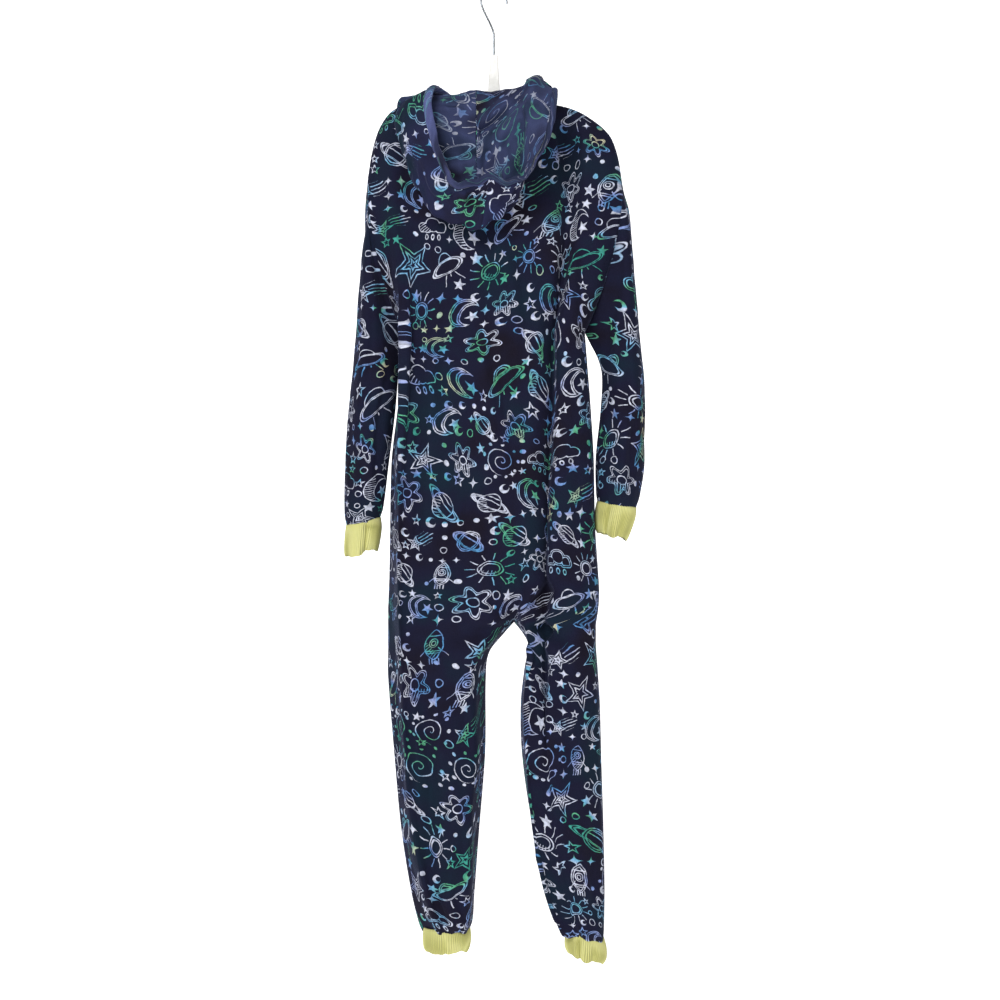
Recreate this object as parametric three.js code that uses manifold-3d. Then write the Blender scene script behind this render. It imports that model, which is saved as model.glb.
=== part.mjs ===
// A hooded one-piece pajama hanging unworn on a hanger, its hood thrown back.
// Millimetres, +Z up. The garment's front faces -Y and its back faces +Y, and +X is the wearer's left.
// The origin is the point of the hook's loop that bears on the rail.
import * as THREE from 'three';
import { mergeVertices } from 'three/addons/utils/BufferGeometryUtils.js';
import Module from 'manifold-3d';

const wasm = await Module();
wasm.setup();

// Driving dimensions
const fleeceThickness = 2;
const ribThickness = 3;
const seamGap = 0.5;
const armholeSteps = 9;
const neckFrontDrop = 52;
const neckFrontDepth = 42;
const neckBackDepth = 34;
const neckBackDrop = 7;
const neckSideHeight = -173;
const neckLeft = 104;
const neckRight = -80;
const zipHalfOpening = 5;
const zipTapeWidth = 10;
const zipTapeThickness = 1;
const grooveHalfWidth = 9;
const hoodRows = 17;
const hoodHemWidth = 12;
const hoodHemThickness = 5;
const hookWireRadius = 1.5;
const hookLoopRadius = 19.5;

// Back columns that carry a named line of the garment, counted from the left side seam
const neckLeftColumn = 4;
const neckBackColumn = 10;
const crotchColumn = 15;
const neckRightColumn = 18;
const lastColumn = 26;
const frontLeftColumns = 10;
const frontRightColumns = 12;

const colours = {
  fleece: '#23244a',
  rib: '#d4d66a',
  hem: '#4a4f80',
  tape: '#23244a',
  zip: '#8f959c',
  hanger: '#f0efeb',
  wire: '#b9bdc2',
};

// A smooth curve through a table's rows: the named column at a place along the key column
function along(table, key, column, at) {
  const last = table.length - 1;
  const rising = table[last][key] > table[0][key];
  let i = 0;
  while (i < last - 1 && (rising ? at > table[i + 1][key] : at < table[i + 1][key])) {
    i += 1;
  }
  const slope = (k) => {
    const low = Math.max(k - 1, 0);
    const high = Math.min(k + 1, last);
    return (table[high][column] - table[low][column]) / (table[high][key] - table[low][key]);
  };
  const start = table[i];
  const end = table[i + 1];
  const span = end[key] - start[key];
  const t = Math.min(Math.max((at - start[key]) / span, 0), 1);
  const square = t * t;
  const cube = square * t;
  return (2 * cube - 3 * square + 1) * start[column]
    + (cube - 2 * square + t) * span * slope(i)
    + (3 * square - 2 * cube) * end[column]
    + (cube - square) * span * slope(i + 1);
}

const mix = (a, b, t) => a + (b - a) * t;

// Shoulder seam from the top of each sleeve to the neck, seen from behind
const leftShoulder = [
  { column: 0, x: 189, z: -285 },
  { column: 1, x: 182, z: -243 },
  { column: 2, x: 170, z: -207 },
  { column: 3, x: 147, z: -181 },
  { column: 4, x: neckLeft, z: neckSideHeight },
];
const rightShoulder = [
  { column: 18, x: neckRight, z: neckSideHeight },
  { column: 20, x: -112, z: -180 },
  { column: 22, x: -140, z: -193 },
  { column: 24, x: -173, z: -221 },
  { column: 25, x: -185, z: -252 },
  { column: 26, x: -193, z: -298 },
];

// Torso sections from the armpits down to the crotch. crease is the ironed edge down the left of the
// back, groove the deep fold down its right, centre the crotch's place, and cleft how far the seat is
// drawn in towards the crotch point
const torso = [
  {
    z: -518, left: 138.5, crease: 132, centre: -8, groove: -89, right: -136.5,
    back: 56, front: 50, grooveDepth: 27, cleft: 0,
  },
  {
    z: -570, left: 141, crease: 132, centre: -11, groove: -87, right: -140.5,
    back: 57, front: 51, grooveDepth: 28, cleft: 0,
  },
  {
    z: -620, left: 143.5, crease: 133, centre: -14, groove: -86, right: -144.5,
    back: 58, front: 52, grooveDepth: 29, cleft: 0,
  },
  {
    z: -700, left: 153, crease: 138, centre: -18, groove: -82, right: -149.5,
    back: 58, front: 52, grooveDepth: 29, cleft: 0,
  },
  {
    z: -745, left: 155, crease: 139, centre: -21, groove: -80, right: -150.5,
    back: 58, front: 52, grooveDepth: 29, cleft: 0,
  },
  {
    z: -810, left: 156, crease: 140, centre: -24, groove: -79, right: -152,
    back: 57, front: 51, grooveDepth: 28, cleft: 0,
  },
  {
    z: -878, left: 157, crease: 141, centre: -28, groove: -77, right: -156.5,
    back: 56, front: 50, grooveDepth: 27, cleft: 0.04,
  },
  {
    z: -908, left: 158, crease: 141, centre: -29, groove: -77, right: -158,
    back: 55, front: 49, grooveDepth: 26, cleft: 0.15,
  },
  {
    z: -932, left: 159, crease: 141, centre: -30, groove: -76, right: -156.5,
    back: 54, front: 48, grooveDepth: 25, cleft: 0.4,
  },
  {
    z: -951, left: 159, crease: 140, centre: -30, groove: -76, right: -153.5,
    back: 53, front: 47, grooveDepth: 24, cleft: 1,
  },
];
const torsoHeights = [-556, -600, -648, -700, -752, -800, -842, -878, -908, -932, -951];

// Leg sections from the crotch down to the ankle seam, each tilted from its outer to its inner point
const leftLeg = [
  { t: 0, outerX: 159, outerZ: -951, innerX: -30, innerZ: -951, crease: 140, back: 53, front: 47 },
  { t: 0.04, outerX: 159, outerZ: -969, innerX: -14, innerZ: -969, crease: 139, back: 52, front: 46 },
  { t: 0.1, outerX: 159, outerZ: -996, innerX: 7, innerZ: -996, crease: 138, back: 51, front: 45 },
  { t: 0.18, outerX: 159, outerZ: -1032, innerX: 12, innerZ: -1032, crease: 136, back: 50, front: 44 },
  { t: 0.42, outerX: 150, outerZ: -1145, innerX: 13, innerZ: -1145, crease: 131, back: 48, front: 42 },
  { t: 0.66, outerX: 139, outerZ: -1262, innerX: 22, innerZ: -1260, crease: 119, back: 46, front: 40 },
  { t: 0.86, outerX: 124, outerZ: -1356, innerX: 29, innerZ: -1354, crease: 99, back: 43, front: 37 },
  { t: 0.95, outerX: 113, outerZ: -1400, innerX: 32, innerZ: -1396, crease: 87, back: 40, front: 35 },
  { t: 1, outerX: 105, outerZ: -1416, innerX: 38, innerZ: -1412, crease: 82, back: 31, front: 28 },
];
const rightLeg = [
  {
    t: 0, outerX: -153, outerZ: -951, innerX: -30, innerZ: -951, groove: -76,
    back: 53, front: 47, grooveDepth: 24,
  },
  {
    t: 0.04, outerX: -153, outerZ: -969, innerX: -44, innerZ: -969, groove: -77,
    back: 52, front: 46, grooveDepth: 23,
  },
  {
    t: 0.07, outerX: -153, outerZ: -985, innerX: -51, innerZ: -984, groove: -77,
    back: 51, front: 45, grooveDepth: 23,
  },
  {
    t: 0.16, outerX: -156, outerZ: -1026, innerX: -45, innerZ: -1024, groove: -76,
    back: 50, front: 44, grooveDepth: 22,
  },
  {
    t: 0.26, outerX: -159, outerZ: -1075, innerX: -40, innerZ: -1074, groove: -75,
    back: 49, front: 43, grooveDepth: 18,
  },
  {
    t: 0.42, outerX: -161, outerZ: -1152, innerX: -42, innerZ: -1150, groove: -76,
    back: 48, front: 42, grooveDepth: 7,
  },
  {
    t: 0.62, outerX: -164, outerZ: -1250, innerX: -56, innerZ: -1247, groove: -84,
    back: 46, front: 40, grooveDepth: 3,
  },
  {
    t: 0.82, outerX: -166, outerZ: -1348, innerX: -79, innerZ: -1343, groove: -100,
    back: 43, front: 37, grooveDepth: 4,
  },
  {
    t: 0.95, outerX: -165, outerZ: -1410, innerX: -104, innerZ: -1403, groove: -120,
    back: 38, front: 34, grooveDepth: 7,
  },
  {
    t: 1, outerX: -163, outerZ: -1430, innerX: -110, innerZ: -1417, groove: -128,
    back: 29, front: 27, grooveDepth: 1,
  },
];
const legSteps = [0.04, 0.085, 0.145, 0.215, 0.3, 0.39, 0.48, 0.57, 0.66, 0.75, 0.83, 0.9, 0.955, 1];

// Sleeve sections from the armhole down to the wrist seam. ridge moves the fullness of the back
// towards the outer edge, and bow swells the armhole towards the sleeve
const leftSleeve = [
  { t: 0, outerX: 189, outerZ: -285, innerX: 138.5, innerZ: -518, back: 27, front: 24, ridge: 0.5, bow: 11 },
  {
    t: 0.12, outerX: 192, outerZ: -342, innerX: 141.5, innerZ: -531,
    back: 33, front: 28, ridge: 0.45, bow: 7,
  },
  { t: 0.28, outerX: 199, outerZ: -430, innerX: 143, innerZ: -558, back: 37, front: 32, ridge: 0.3, bow: 3 },
  {
    t: 0.46, outerX: 208, outerZ: -528, innerX: 144.5, innerZ: -592,
    back: 38, front: 34, ridge: 0.15, bow: 0,
  },
  { t: 0.64, outerX: 218, outerZ: -618, innerX: 148.5, innerZ: -640, back: 38, front: 34, ridge: 0, bow: 0 },
  {
    t: 0.8, outerX: 223, outerZ: -712, innerX: 157.5, innerZ: -712,
    back: 36, front: 33, ridge: -0.1, bow: 0,
  },
  { t: 0.95, outerX: 225, outerZ: -788, innerX: 166, innerZ: -779, back: 33, front: 31, ridge: 0, bow: 0 },
  { t: 1, outerX: 220, outerZ: -810, innerX: 172, innerZ: -798, back: 26, front: 25, ridge: 0, bow: 0 },
];
const rightSleeve = [
  {
    t: 0, outerX: -193, outerZ: -298, innerX: -136.5, innerZ: -518,
    back: 27, front: 24, ridge: 0.55, bow: -11,
  },
  {
    t: 0.12, outerX: -204, outerZ: -360, innerX: -144, innerZ: -533,
    back: 33, front: 28, ridge: 0.5, bow: -7,
  },
  {
    t: 0.28, outerX: -211, outerZ: -438, innerX: -156, innerZ: -557,
    back: 37, front: 32, ridge: 0.4, bow: -3,
  },
  {
    t: 0.46, outerX: -218, outerZ: -514, innerX: -162, innerZ: -585,
    back: 38, front: 34, ridge: 0.2, bow: 0,
  },
  {
    t: 0.64, outerX: -226, outerZ: -612, innerX: -159.5, innerZ: -636,
    back: 38, front: 34, ridge: 0.1, bow: 0,
  },
  { t: 0.8, outerX: -226, outerZ: -698, innerX: -152.5, innerZ: -705, back: 36, front: 33, ridge: 0, bow: 0 },
  { t: 0.94, outerX: -219, outerZ: -760, innerX: -153, innerZ: -758, back: 33, front: 31, ridge: 0, bow: 0 },
  { t: 1, outerX: -212, outerZ: -783, innerX: -156, innerZ: -774, back: 27, front: 26, ridge: 0, bow: 0 },
];
const sleeveSteps = [0.07, 0.15, 0.23, 0.31, 0.39, 0.47, 0.55, 0.63, 0.71, 0.79, 0.86, 0.92, 0.965, 1];

// Rib cuffs below each seam, tilted as they hang
const leftWrist = [
  { outerX: 221, outerZ: -822, innerX: 171, innerZ: -809, back: 25, front: 24 },
  { outerX: 222, outerZ: -843, innerX: 174, innerZ: -830, back: 25, front: 24 },
  { outerX: 221, outerZ: -854, innerX: 177, innerZ: -841, back: 22, front: 21 },
];
const rightWrist = [
  { outerX: -209, outerZ: -795, innerX: -154, innerZ: -786, back: 26, front: 25 },
  { outerX: -201, outerZ: -817, innerX: -154, innerZ: -807, back: 25, front: 24 },
  { outerX: -196, outerZ: -826, innerX: -157, innerZ: -816, back: 22, front: 21 },
];
const leftAnkle = [
  { outerX: 104, outerZ: -1424, innerX: 37, innerZ: -1421, back: 30, front: 28 },
  { outerX: 103, outerZ: -1437, innerX: 39, innerZ: -1435, back: 29, front: 27 },
  { outerX: 100, outerZ: -1443, innerX: 43, innerZ: -1442, back: 26, front: 24 },
];
const rightAnkle = [
  { outerX: -166, outerZ: -1438, innerX: -109, innerZ: -1423, back: 29, front: 27 },
  { outerX: -166, outerZ: -1452, innerX: -109, innerZ: -1437, back: 28, front: 26 },
  { outerX: -161, outerZ: -1460, innerX: -113, innerZ: -1446, back: 25, front: 23 },
];

// Hood sections from the neck seam over the fold to the crown: rim is the face opening, side the fold
// at the hood's edge, seam the centre seam
const hoodSeam = [
  { row: 1, x: 26, y: 42, z: -163 },
  { row: 2, x: 26, y: 56, z: -171 },
  { row: 3, x: 26, y: 64, z: -191 },
  { row: 4, x: 26, y: 67, z: -215 },
  { row: 5, x: 26, y: 68, z: -240 },
  { row: 6, x: 25.5, y: 68, z: -268 },
  { row: 7, x: 25, y: 69, z: -297 },
  { row: 8, x: 24, y: 71, z: -325 },
  { row: 9, x: 23, y: 75, z: -350 },
  { row: 10, x: 22, y: 82, z: -366 },
];
const hoodLeft = [
  { row: 1, rimX: 27, rimY: -51, rimZ: -197, sideX: 109, sideY: -2, sideZ: -167, bulge: 2 },
  { row: 2, rimX: 64, rimY: -46, rimZ: -168, sideX: 124, sideY: 16, sideZ: -167, bulge: 3 },
  { row: 3, rimX: 88, rimY: -8, rimZ: -156, sideX: 136, sideY: 34, sideZ: -174, bulge: 4 },
  { row: 4, rimX: 98, rimY: 46, rimZ: -162, sideX: 141, sideY: 46, sideZ: -195, bulge: 9 },
  { row: 5, rimX: 101, rimY: 86, rimZ: -197, sideX: 141, sideY: 54, sideZ: -222, bulge: 12 },
  { row: 6, rimX: 92, rimY: 108, rimZ: -240, sideX: 133, sideY: 60, sideZ: -262, bulge: 13 },
  { row: 7, rimX: 79, rimY: 116, rimZ: -280, sideX: 116, sideY: 66, sideZ: -303, bulge: 13 },
  { row: 8, rimX: 62, rimY: 117, rimZ: -311, sideX: 91, sideY: 74, sideZ: -342, bulge: 13 },
  { row: 9, rimX: 36, rimY: 116, rimZ: -316, sideX: 58, sideY: 86, sideZ: -366, bulge: 9 },
  { row: 10, rimX: 8, rimY: 113, rimZ: -309, sideX: 18, sideY: 98, sideZ: -373, bulge: 4 },
];
const hoodRight = [
  { row: 1, rimX: -27, rimY: -51, rimZ: -199, sideX: -86, sideY: -4, sideZ: -160, bulge: 2 },
  { row: 2, rimX: -64, rimY: -44, rimZ: -168, sideX: -84, sideY: 14, sideZ: -150, bulge: 2 },
  { row: 3, rimX: -84, rimY: -4, rimZ: -157, sideX: -64, sideY: 32, sideZ: -141, bulge: 2 },
  { row: 4, rimX: -86, rimY: 42, rimZ: -161, sideX: -54, sideY: 46, sideZ: -150, bulge: -2 },
  { row: 5, rimX: -84, rimY: 80, rimZ: -190, sideX: -46, sideY: 60, sideZ: -180, bulge: -4 },
  { row: 6, rimX: -80, rimY: 100, rimZ: -222, sideX: -40, sideY: 70, sideZ: -225, bulge: -4 },
  { row: 7, rimX: -68, rimY: 112, rimZ: -260, sideX: -36, sideY: 76, sideZ: -272, bulge: 0 },
  { row: 8, rimX: -50, rimY: 118, rimZ: -297, sideX: -34, sideY: 84, sideZ: -318, bulge: 6 },
  { row: 9, rimX: -26, rimY: 117, rimZ: -310, sideX: -18, sideY: 94, sideZ: -356, bulge: 6 },
  { row: 10, rimX: 8, rimY: 113, rimZ: -309, sideX: 18, sideY: 98, sideZ: -373, bulge: 4 },
];

// A sheet holds shared points and, for each panel, its quads with their faces outwards
function newSheet() {
  return { points: [], panels: {} };
}

function addPoint(sheet, x, y, z) {
  sheet.points.push(new THREE.Vector3(x, y, z));
  return sheet.points.length - 1;
}

function addGrid(sheet, name, grid, turned) {
  if (!sheet.panels[name]) {
    sheet.panels[name] = [];
  }
  for (let r = 0; r + 1 < grid.length; r += 1) {
    for (let c = 0; c + 1 < grid[r].length; c += 1) {
      const quad = [grid[r][c], grid[r][c + 1], grid[r + 1][c + 1], grid[r + 1][c]];
      sheet.panels[name].push(turned ? quad.reverse() : quad);
    }
  }
}

function quadNormal(points, quad) {
  const across = points[quad[2]].clone().sub(points[quad[0]]);
  const over = points[quad[3]].clone().sub(points[quad[1]]);
  return across.cross(over);
}

function pointNormals(points, quads) {
  const normals = points.map(() => new THREE.Vector3());
  for (const quad of quads) {
    const normal = quadNormal(points, quad);
    for (const id of quad) {
      normals[id].add(normal);
    }
  }
  return normals.map((normal) => normal.normalize());
}

function sheetNormals(sheet) {
  return pointNormals(sheet.points, Object.values(sheet.panels).flat());
}

// The open edges of a set of quads, each in the direction that keeps the panel on its left
function openEdges(quads) {
  const seen = new Map();
  for (const quad of quads) {
    for (let k = 0; k < 4; k += 1) {
      seen.set(`${quad[k]}_${quad[(k + 1) % 4]}`, [quad[k], quad[(k + 1) % 4]]);
    }
  }
  return [...seen.values()].filter(([a, b]) => !seen.has(`${b}_${a}`));
}

// Each point on a panel's edge moved into the panel by half the seam gap, square to both edges there,
// and further where the cloth folds sharply at the seam, as under the arm
function seamShifts(sheet, normals, name, edges) {
  const { points } = sheet;
  const own = pointNormals(points, sheet.panels[name]);
  const inward = new Map();
  for (const [a, b] of edges) {
    for (const id of [a, b]) {
      const run = points[b].clone().sub(points[a]);
      const into = normals[id].clone().cross(run).normalize();
      if (!inward.has(id)) {
        inward.set(id, []);
      }
      inward.get(id).push(into);
    }
  }
  const shifts = new Map();
  for (const [id, list] of inward) {
    const sum = list.reduce((total, into) => total.add(into), new THREE.Vector3());
    const reach = list.length > 1 ? Math.max(1 + list[0].dot(list[list.length - 1]), 0.35) : 1;
    const fold = 1 - own[id].dot(normals[id]);
    shifts.set(id, sum.multiplyScalar(seamGap / 2 / reach * (1 + 2 * fold)));
  }
  return shifts;
}

// A closed wall of even thickness under a panel's outer points
function wallGeometry(sheet, normals, name, thickness) {
  const quads = sheet.panels[name];
  const edges = openEdges(quads);
  const shifts = seamShifts(sheet, normals, name, edges);
  const ids = [...new Set(quads.flat())];
  const place = new Map(ids.map((id, k) => [id, k]));
  const count = ids.length;
  const outer = ids.map((id) => {
    const point = sheet.points[id].clone();
    return shifts.has(id) ? point.add(shifts.get(id)) : point;
  });
  const inner = ids.map((id, k) => outer[k].clone().addScaledVector(normals[id], -thickness));
  const faces = [];
  for (const quad of quads) {
    const [a, b, c, d] = quad.map((id) => place.get(id));
    faces.push([a, b, c], [a, c, d]);
    faces.push([c + count, b + count, a + count], [d + count, c + count, a + count]);
  }
  for (const [from, to] of edges) {
    const a = place.get(from);
    const b = place.get(to);
    if (from < to) {
      faces.push([b, a, a + count], [b, a + count, b + count]);
    } else {
      faces.push([b, a, b + count], [a, a + count, b + count]);
    }
  }
  return solidGeometry([...outer, ...inner], faces);
}

function solidGeometry(points, faces) {
  const geometry = new THREE.BufferGeometry();
  const numbers = points.flatMap((p) => [p.x, p.y, p.z]);
  geometry.setAttribute('position', new THREE.Float32BufferAttribute(numbers, 3));
  geometry.setIndex(faces.flat());
  geometry.computeVertexNormals();
  return geometry;
}

// A point on a sleeve's ring: turn 0 is its outer edge, a half turn its inner edge, between them the back
function sleevePoint(table, t, turn) {
  const at = (column) => along(table, 't', column, t);
  const angle = turn * Math.PI * 2;
  const swing = Math.cos(angle);
  const depth = Math.sin(angle);
  const half = (1 - swing) / 2;
  const fullness = depth > 0 ? at('back') * (1 + at('ridge') * swing) : at('front');
  return [
    mix(at('outerX'), at('innerX'), half) + at('bow') * depth * depth,
    fullness * depth,
    mix(at('outerZ'), at('innerZ'), half),
  ];
}

// The curve through a section's few key points, read at each column
function sectionPoints(keys, first, last) {
  const points = [];
  for (let column = first; column <= last; column += 1) {
    points.push([along(keys, 'at', 'x', column), along(keys, 'at', 'y', column)]);
  }
  return points;
}

// The left part of a back section, from the side seam over the crease to the crotch line
function backLeftKeys(outerX, creaseX, innerX, depth, cleft) {
  return [
    { at: 0, x: outerX, y: 0 },
    { at: 1.5, x: mix(outerX, creaseX, 0.35), y: depth * 0.5 },
    { at: 3, x: creaseX, y: depth * 0.87 },
    { at: 4.5, x: creaseX - 14, y: depth * 0.9 },
    { at: 9, x: mix(creaseX, innerX, 0.52), y: depth },
    { at: 13, x: mix(creaseX, innerX, 0.86), y: depth * mix(1, 0.84, cleft) },
    { at: crotchColumn, x: innerX, y: depth * (1 - cleft) },
  ];
}

// The right part of a back section, from the crotch line over the groove to the side seam
function backRightKeys(innerX, grooveX, outerX, depth, grooveDepth, cleft) {
  const lip = depth * 0.96;
  return [
    { at: crotchColumn, x: innerX, y: depth * (1 - cleft) },
    { at: 16.5, x: mix(innerX, grooveX + grooveHalfWidth, 0.5), y: depth * mix(1, 0.85, cleft) },
    { at: 18, x: grooveX + grooveHalfWidth, y: lip },
    { at: 20, x: grooveX, y: lip - grooveDepth },
    { at: 22, x: grooveX - grooveHalfWidth, y: lip },
    { at: 24, x: mix(grooveX - grooveHalfWidth, outerX, 0.62), y: depth * 0.88 },
    { at: 25, x: mix(grooveX - grooveHalfWidth, outerX, 0.93), y: depth * 0.55 },
    { at: lastColumn, x: outerX, y: 0 },
  ];
}

function frontKeys(outerX, innerX, columns, depth, cleft) {
  return [
    { at: 0, x: outerX, y: 0 },
    { at: columns * 0.2, x: mix(outerX, innerX, 0.05), y: -depth * 0.6 },
    { at: columns * 0.4, x: mix(outerX, innerX, 0.24), y: -depth * 0.92 },
    { at: columns * 0.8, x: mix(outerX, innerX, 0.78), y: -depth * mix(1, 0.85, cleft) },
    { at: columns, x: innerX, y: -depth * (1 - cleft) },
  ];
}

function torsoSection(z) {
  const at = (column) => along(torso, 'z', column, z);
  const cleft = at('cleft');
  const backLeft = backLeftKeys(at('left'), at('crease'), at('centre'), at('back'), cleft);
  const groove = at('groove');
  const backRight = backRightKeys(at('centre'), groove, at('right'), at('back'), at('grooveDepth'), cleft);
  const leftKeys = frontKeys(at('left'), at('centre'), frontLeftColumns, at('front'), cleft);
  const rightKeys = frontKeys(at('right'), at('centre'), frontRightColumns, at('front'), cleft);
  return {
    back: sectionPoints([...backLeft, ...backRight.slice(1)], 0, lastColumn),
    frontLeft: sectionPoints(leftKeys, 0, frontLeftColumns),
    frontRight: sectionPoints(rightKeys, 0, frontRightColumns),
  };
}

// Puckers of the seat, which fan out from the crotch point and fade with distance
const pucker = { x: -30, z: -951, count: 7, height: 2.6, reach: 70, spread: 38 };
function puckerAt(x, z) {
  const alongX = x - pucker.x;
  const alongZ = z - pucker.z;
  const distance = Math.hypot(alongX, alongZ);
  const fade = Math.exp(-(((distance - pucker.reach) / pucker.spread) ** 2));
  return pucker.height * fade * Math.cos(pucker.count * Math.atan2(alongX, alongZ));
}

const body = newSheet();

// Top edge of the back: the left shoulder seam, the back neckline and the right shoulder seam
const topEdge = [];
for (let column = 0; column <= lastColumn; column += 1) {
  if (column <= neckLeftColumn) {
    topEdge.push([along(leftShoulder, 'column', 'x', column), 0, along(leftShoulder, 'column', 'z', column)]);
  } else if (column < neckRightColumn) {
    const share = (column - neckLeftColumn) / (neckRightColumn - neckLeftColumn);
    const sag = Math.sin(Math.PI * share);
    const height = neckSideHeight - neckBackDrop * sag;
    topEdge.push([mix(neckLeft, neckRight, share), neckBackDepth * sag ** 0.8, height]);
  } else {
    const x = along(rightShoulder, 'column', 'x', column);
    topEdge.push([x, 0, along(rightShoulder, 'column', 'z', column)]);
  }
}

// The front neckline, from the side of the neck down to the zip
function frontNeck(side, sideX, share) {
  const edgeX = side * zipHalfOpening;
  const angle = share * Math.PI / 2;
  return [
    mix(sideX, edgeX, Math.sin(angle) ** 1.15),
    -neckFrontDepth * Math.sin(angle) ** 0.9,
    neckSideHeight - neckFrontDrop * (1 - Math.cos(angle)),
  ];
}

// A yoke point between the top edge and the armpit section, held to the armhole at its side
function yokePoint(top, low, side, sideTop, sideLow, share, fall, reach) {
  const round = Math.sqrt(1 - (1 - fall) ** 2);
  const pull = Math.max(1 - share / reach, 0) ** 2;
  const level = (axis, amount) => mix(top[axis], low[axis], amount);
  const sideLevel = (axis, amount) => mix(sideTop[axis], sideLow[axis], amount);
  return [
    level(0, fall) + (1 - share) * (side[0] - sideLevel(0, fall)),
    level(1, round) + pull * (side[1] - sideLevel(1, round)),
    level(2, fall) + (1 - share) * (side[2] - sideLevel(2, fall)),
  ];
}

const armpit = torsoSection(torso[0].z);
const armpitBack = armpit.back.map(([x, y]) => [x, y, torso[0].z]);
const openFor = (k, columns) => (k === columns ? zipHalfOpening : 0);
const armpitLeft = armpit.frontLeft.map(([x, y], k) => [x + openFor(k, frontLeftColumns), y, torso[0].z]);
const armpitRight = armpit.frontRight.map(([x, y], k) => [x - openFor(k, frontRightColumns), y, torso[0].z]);

const frontTopLeft = [];
for (let k = 0; k <= frontLeftColumns; k += 1) {
  const share = (k - neckLeftColumn) / (frontLeftColumns - neckLeftColumn);
  frontTopLeft.push(k <= neckLeftColumn ? topEdge[k] : frontNeck(1, neckLeft, share));
}
const rightShoulderColumns = lastColumn - neckRightColumn;
const frontTopRight = [];
for (let k = 0; k <= frontRightColumns; k += 1) {
  const share = (k - rightShoulderColumns) / (frontRightColumns - rightShoulderColumns);
  frontTopRight.push(k <= rightShoulderColumns ? topEdge[lastColumn - k] : frontNeck(-1, neckRight, share));
}

// The yoke of the back and of each front, row by row down to the armpits
const backRows = [topEdge.map((p) => addPoint(body, ...p))];
const frontLeftRows = [
  frontTopLeft.map((p, k) => (k <= neckLeftColumn ? backRows[0][k] : addPoint(body, ...p))),
];
const frontRightRows = [
  frontTopRight.map((p, k) => {
    return k <= rightShoulderColumns ? backRows[0][lastColumn - k] : addPoint(body, ...p);
  }),
];
for (let row = 1; row < armholeSteps; row += 1) {
  const turn = row / armholeSteps / 2;
  const fall = (1 - Math.cos(Math.PI * row / armholeSteps)) / 2;
  const sides = {
    leftBack: sleevePoint(leftSleeve, 0, turn),
    leftFront: sleevePoint(leftSleeve, 0, 1 - turn),
    rightBack: sleevePoint(rightSleeve, 0, turn),
    rightFront: sleevePoint(rightSleeve, 0, 1 - turn),
  };
  const backRow = [];
  for (let column = 0; column <= lastColumn; column += 1) {
    const share = column / lastColumn;
    const top = topEdge[column];
    const low = armpitBack[column];
    const fromLeft = yokePoint(top, low, sides.leftBack, topEdge[0], armpitBack[0], share, fall, 0.15);
    const rightTop = topEdge[lastColumn];
    const rightLow = armpitBack[lastColumn];
    const fromRight = yokePoint(top, low, sides.rightBack, rightTop, rightLow, 1 - share, fall, 0.12);
    const plain = yokePoint(top, low, top, top, top, 1, fall, 1);
    backRow.push(addPoint(body, ...fromLeft.map((value, axis) => value + fromRight[axis] - plain[axis])));
  }
  backRows.push(backRow);
  const frontRow = (top, low, side, columns, reach) => top.map((p, k) => {
    const placed = yokePoint(p, low[k], side, top[0], low[0], k / columns, fall, reach);
    return addPoint(body, ...placed);
  });
  frontLeftRows.push(frontRow(frontTopLeft, armpitLeft, sides.leftFront, frontLeftColumns, 0.35));
  frontRightRows.push(frontRow(frontTopRight, armpitRight, sides.rightFront, frontRightColumns, 0.3));
}

// The torso below the armpits. The fronts share their side points with the back, and below the zip
// they share their centre points with each other
const zipRows = armholeSteps + 6;
for (const [step, z] of [torso[0].z, ...torsoHeights].entries()) {
  const section = torsoSection(z);
  const row = armholeSteps + step;
  const last = step === torsoHeights.length;
  const backRow = section.back.map(([x, y]) => addPoint(body, x, y + puckerAt(x, z) * (y > 20 ? 1 : 0), z));
  backRows.push(backRow);
  const zipped = row <= zipRows;
  const leftRow = section.frontLeft.map(([x, y], k) => {
    if (k === 0) {
      return backRow[0];
    }
    if (last && k === frontLeftColumns) {
      return backRow[crotchColumn];
    }
    return addPoint(body, zipped ? x + openFor(k, frontLeftColumns) : x, y, z);
  });
  const rightRow = section.frontRight.map(([x, y], k) => {
    if (k === 0) {
      return backRow[lastColumn];
    }
    if (k === frontRightColumns && !zipped) {
      return leftRow[frontLeftColumns];
    }
    return addPoint(body, zipped ? x - openFor(k, frontRightColumns) : x, y, z);
  });
  frontLeftRows.push(leftRow);
  frontRightRows.push(rightRow);
}
addGrid(body, 'back', backRows, true);
addGrid(body, 'front_left', frontLeftRows, false);
addGrid(body, 'front_right', frontRightRows, true);

// The hem of a leg dips in two lobes over its cuff
function hemLobe(t, share, height) {
  return -height * Math.cos(share * Math.PI * 2 * 2) * Math.max((t - 0.9) / 0.1, 0);
}

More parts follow.
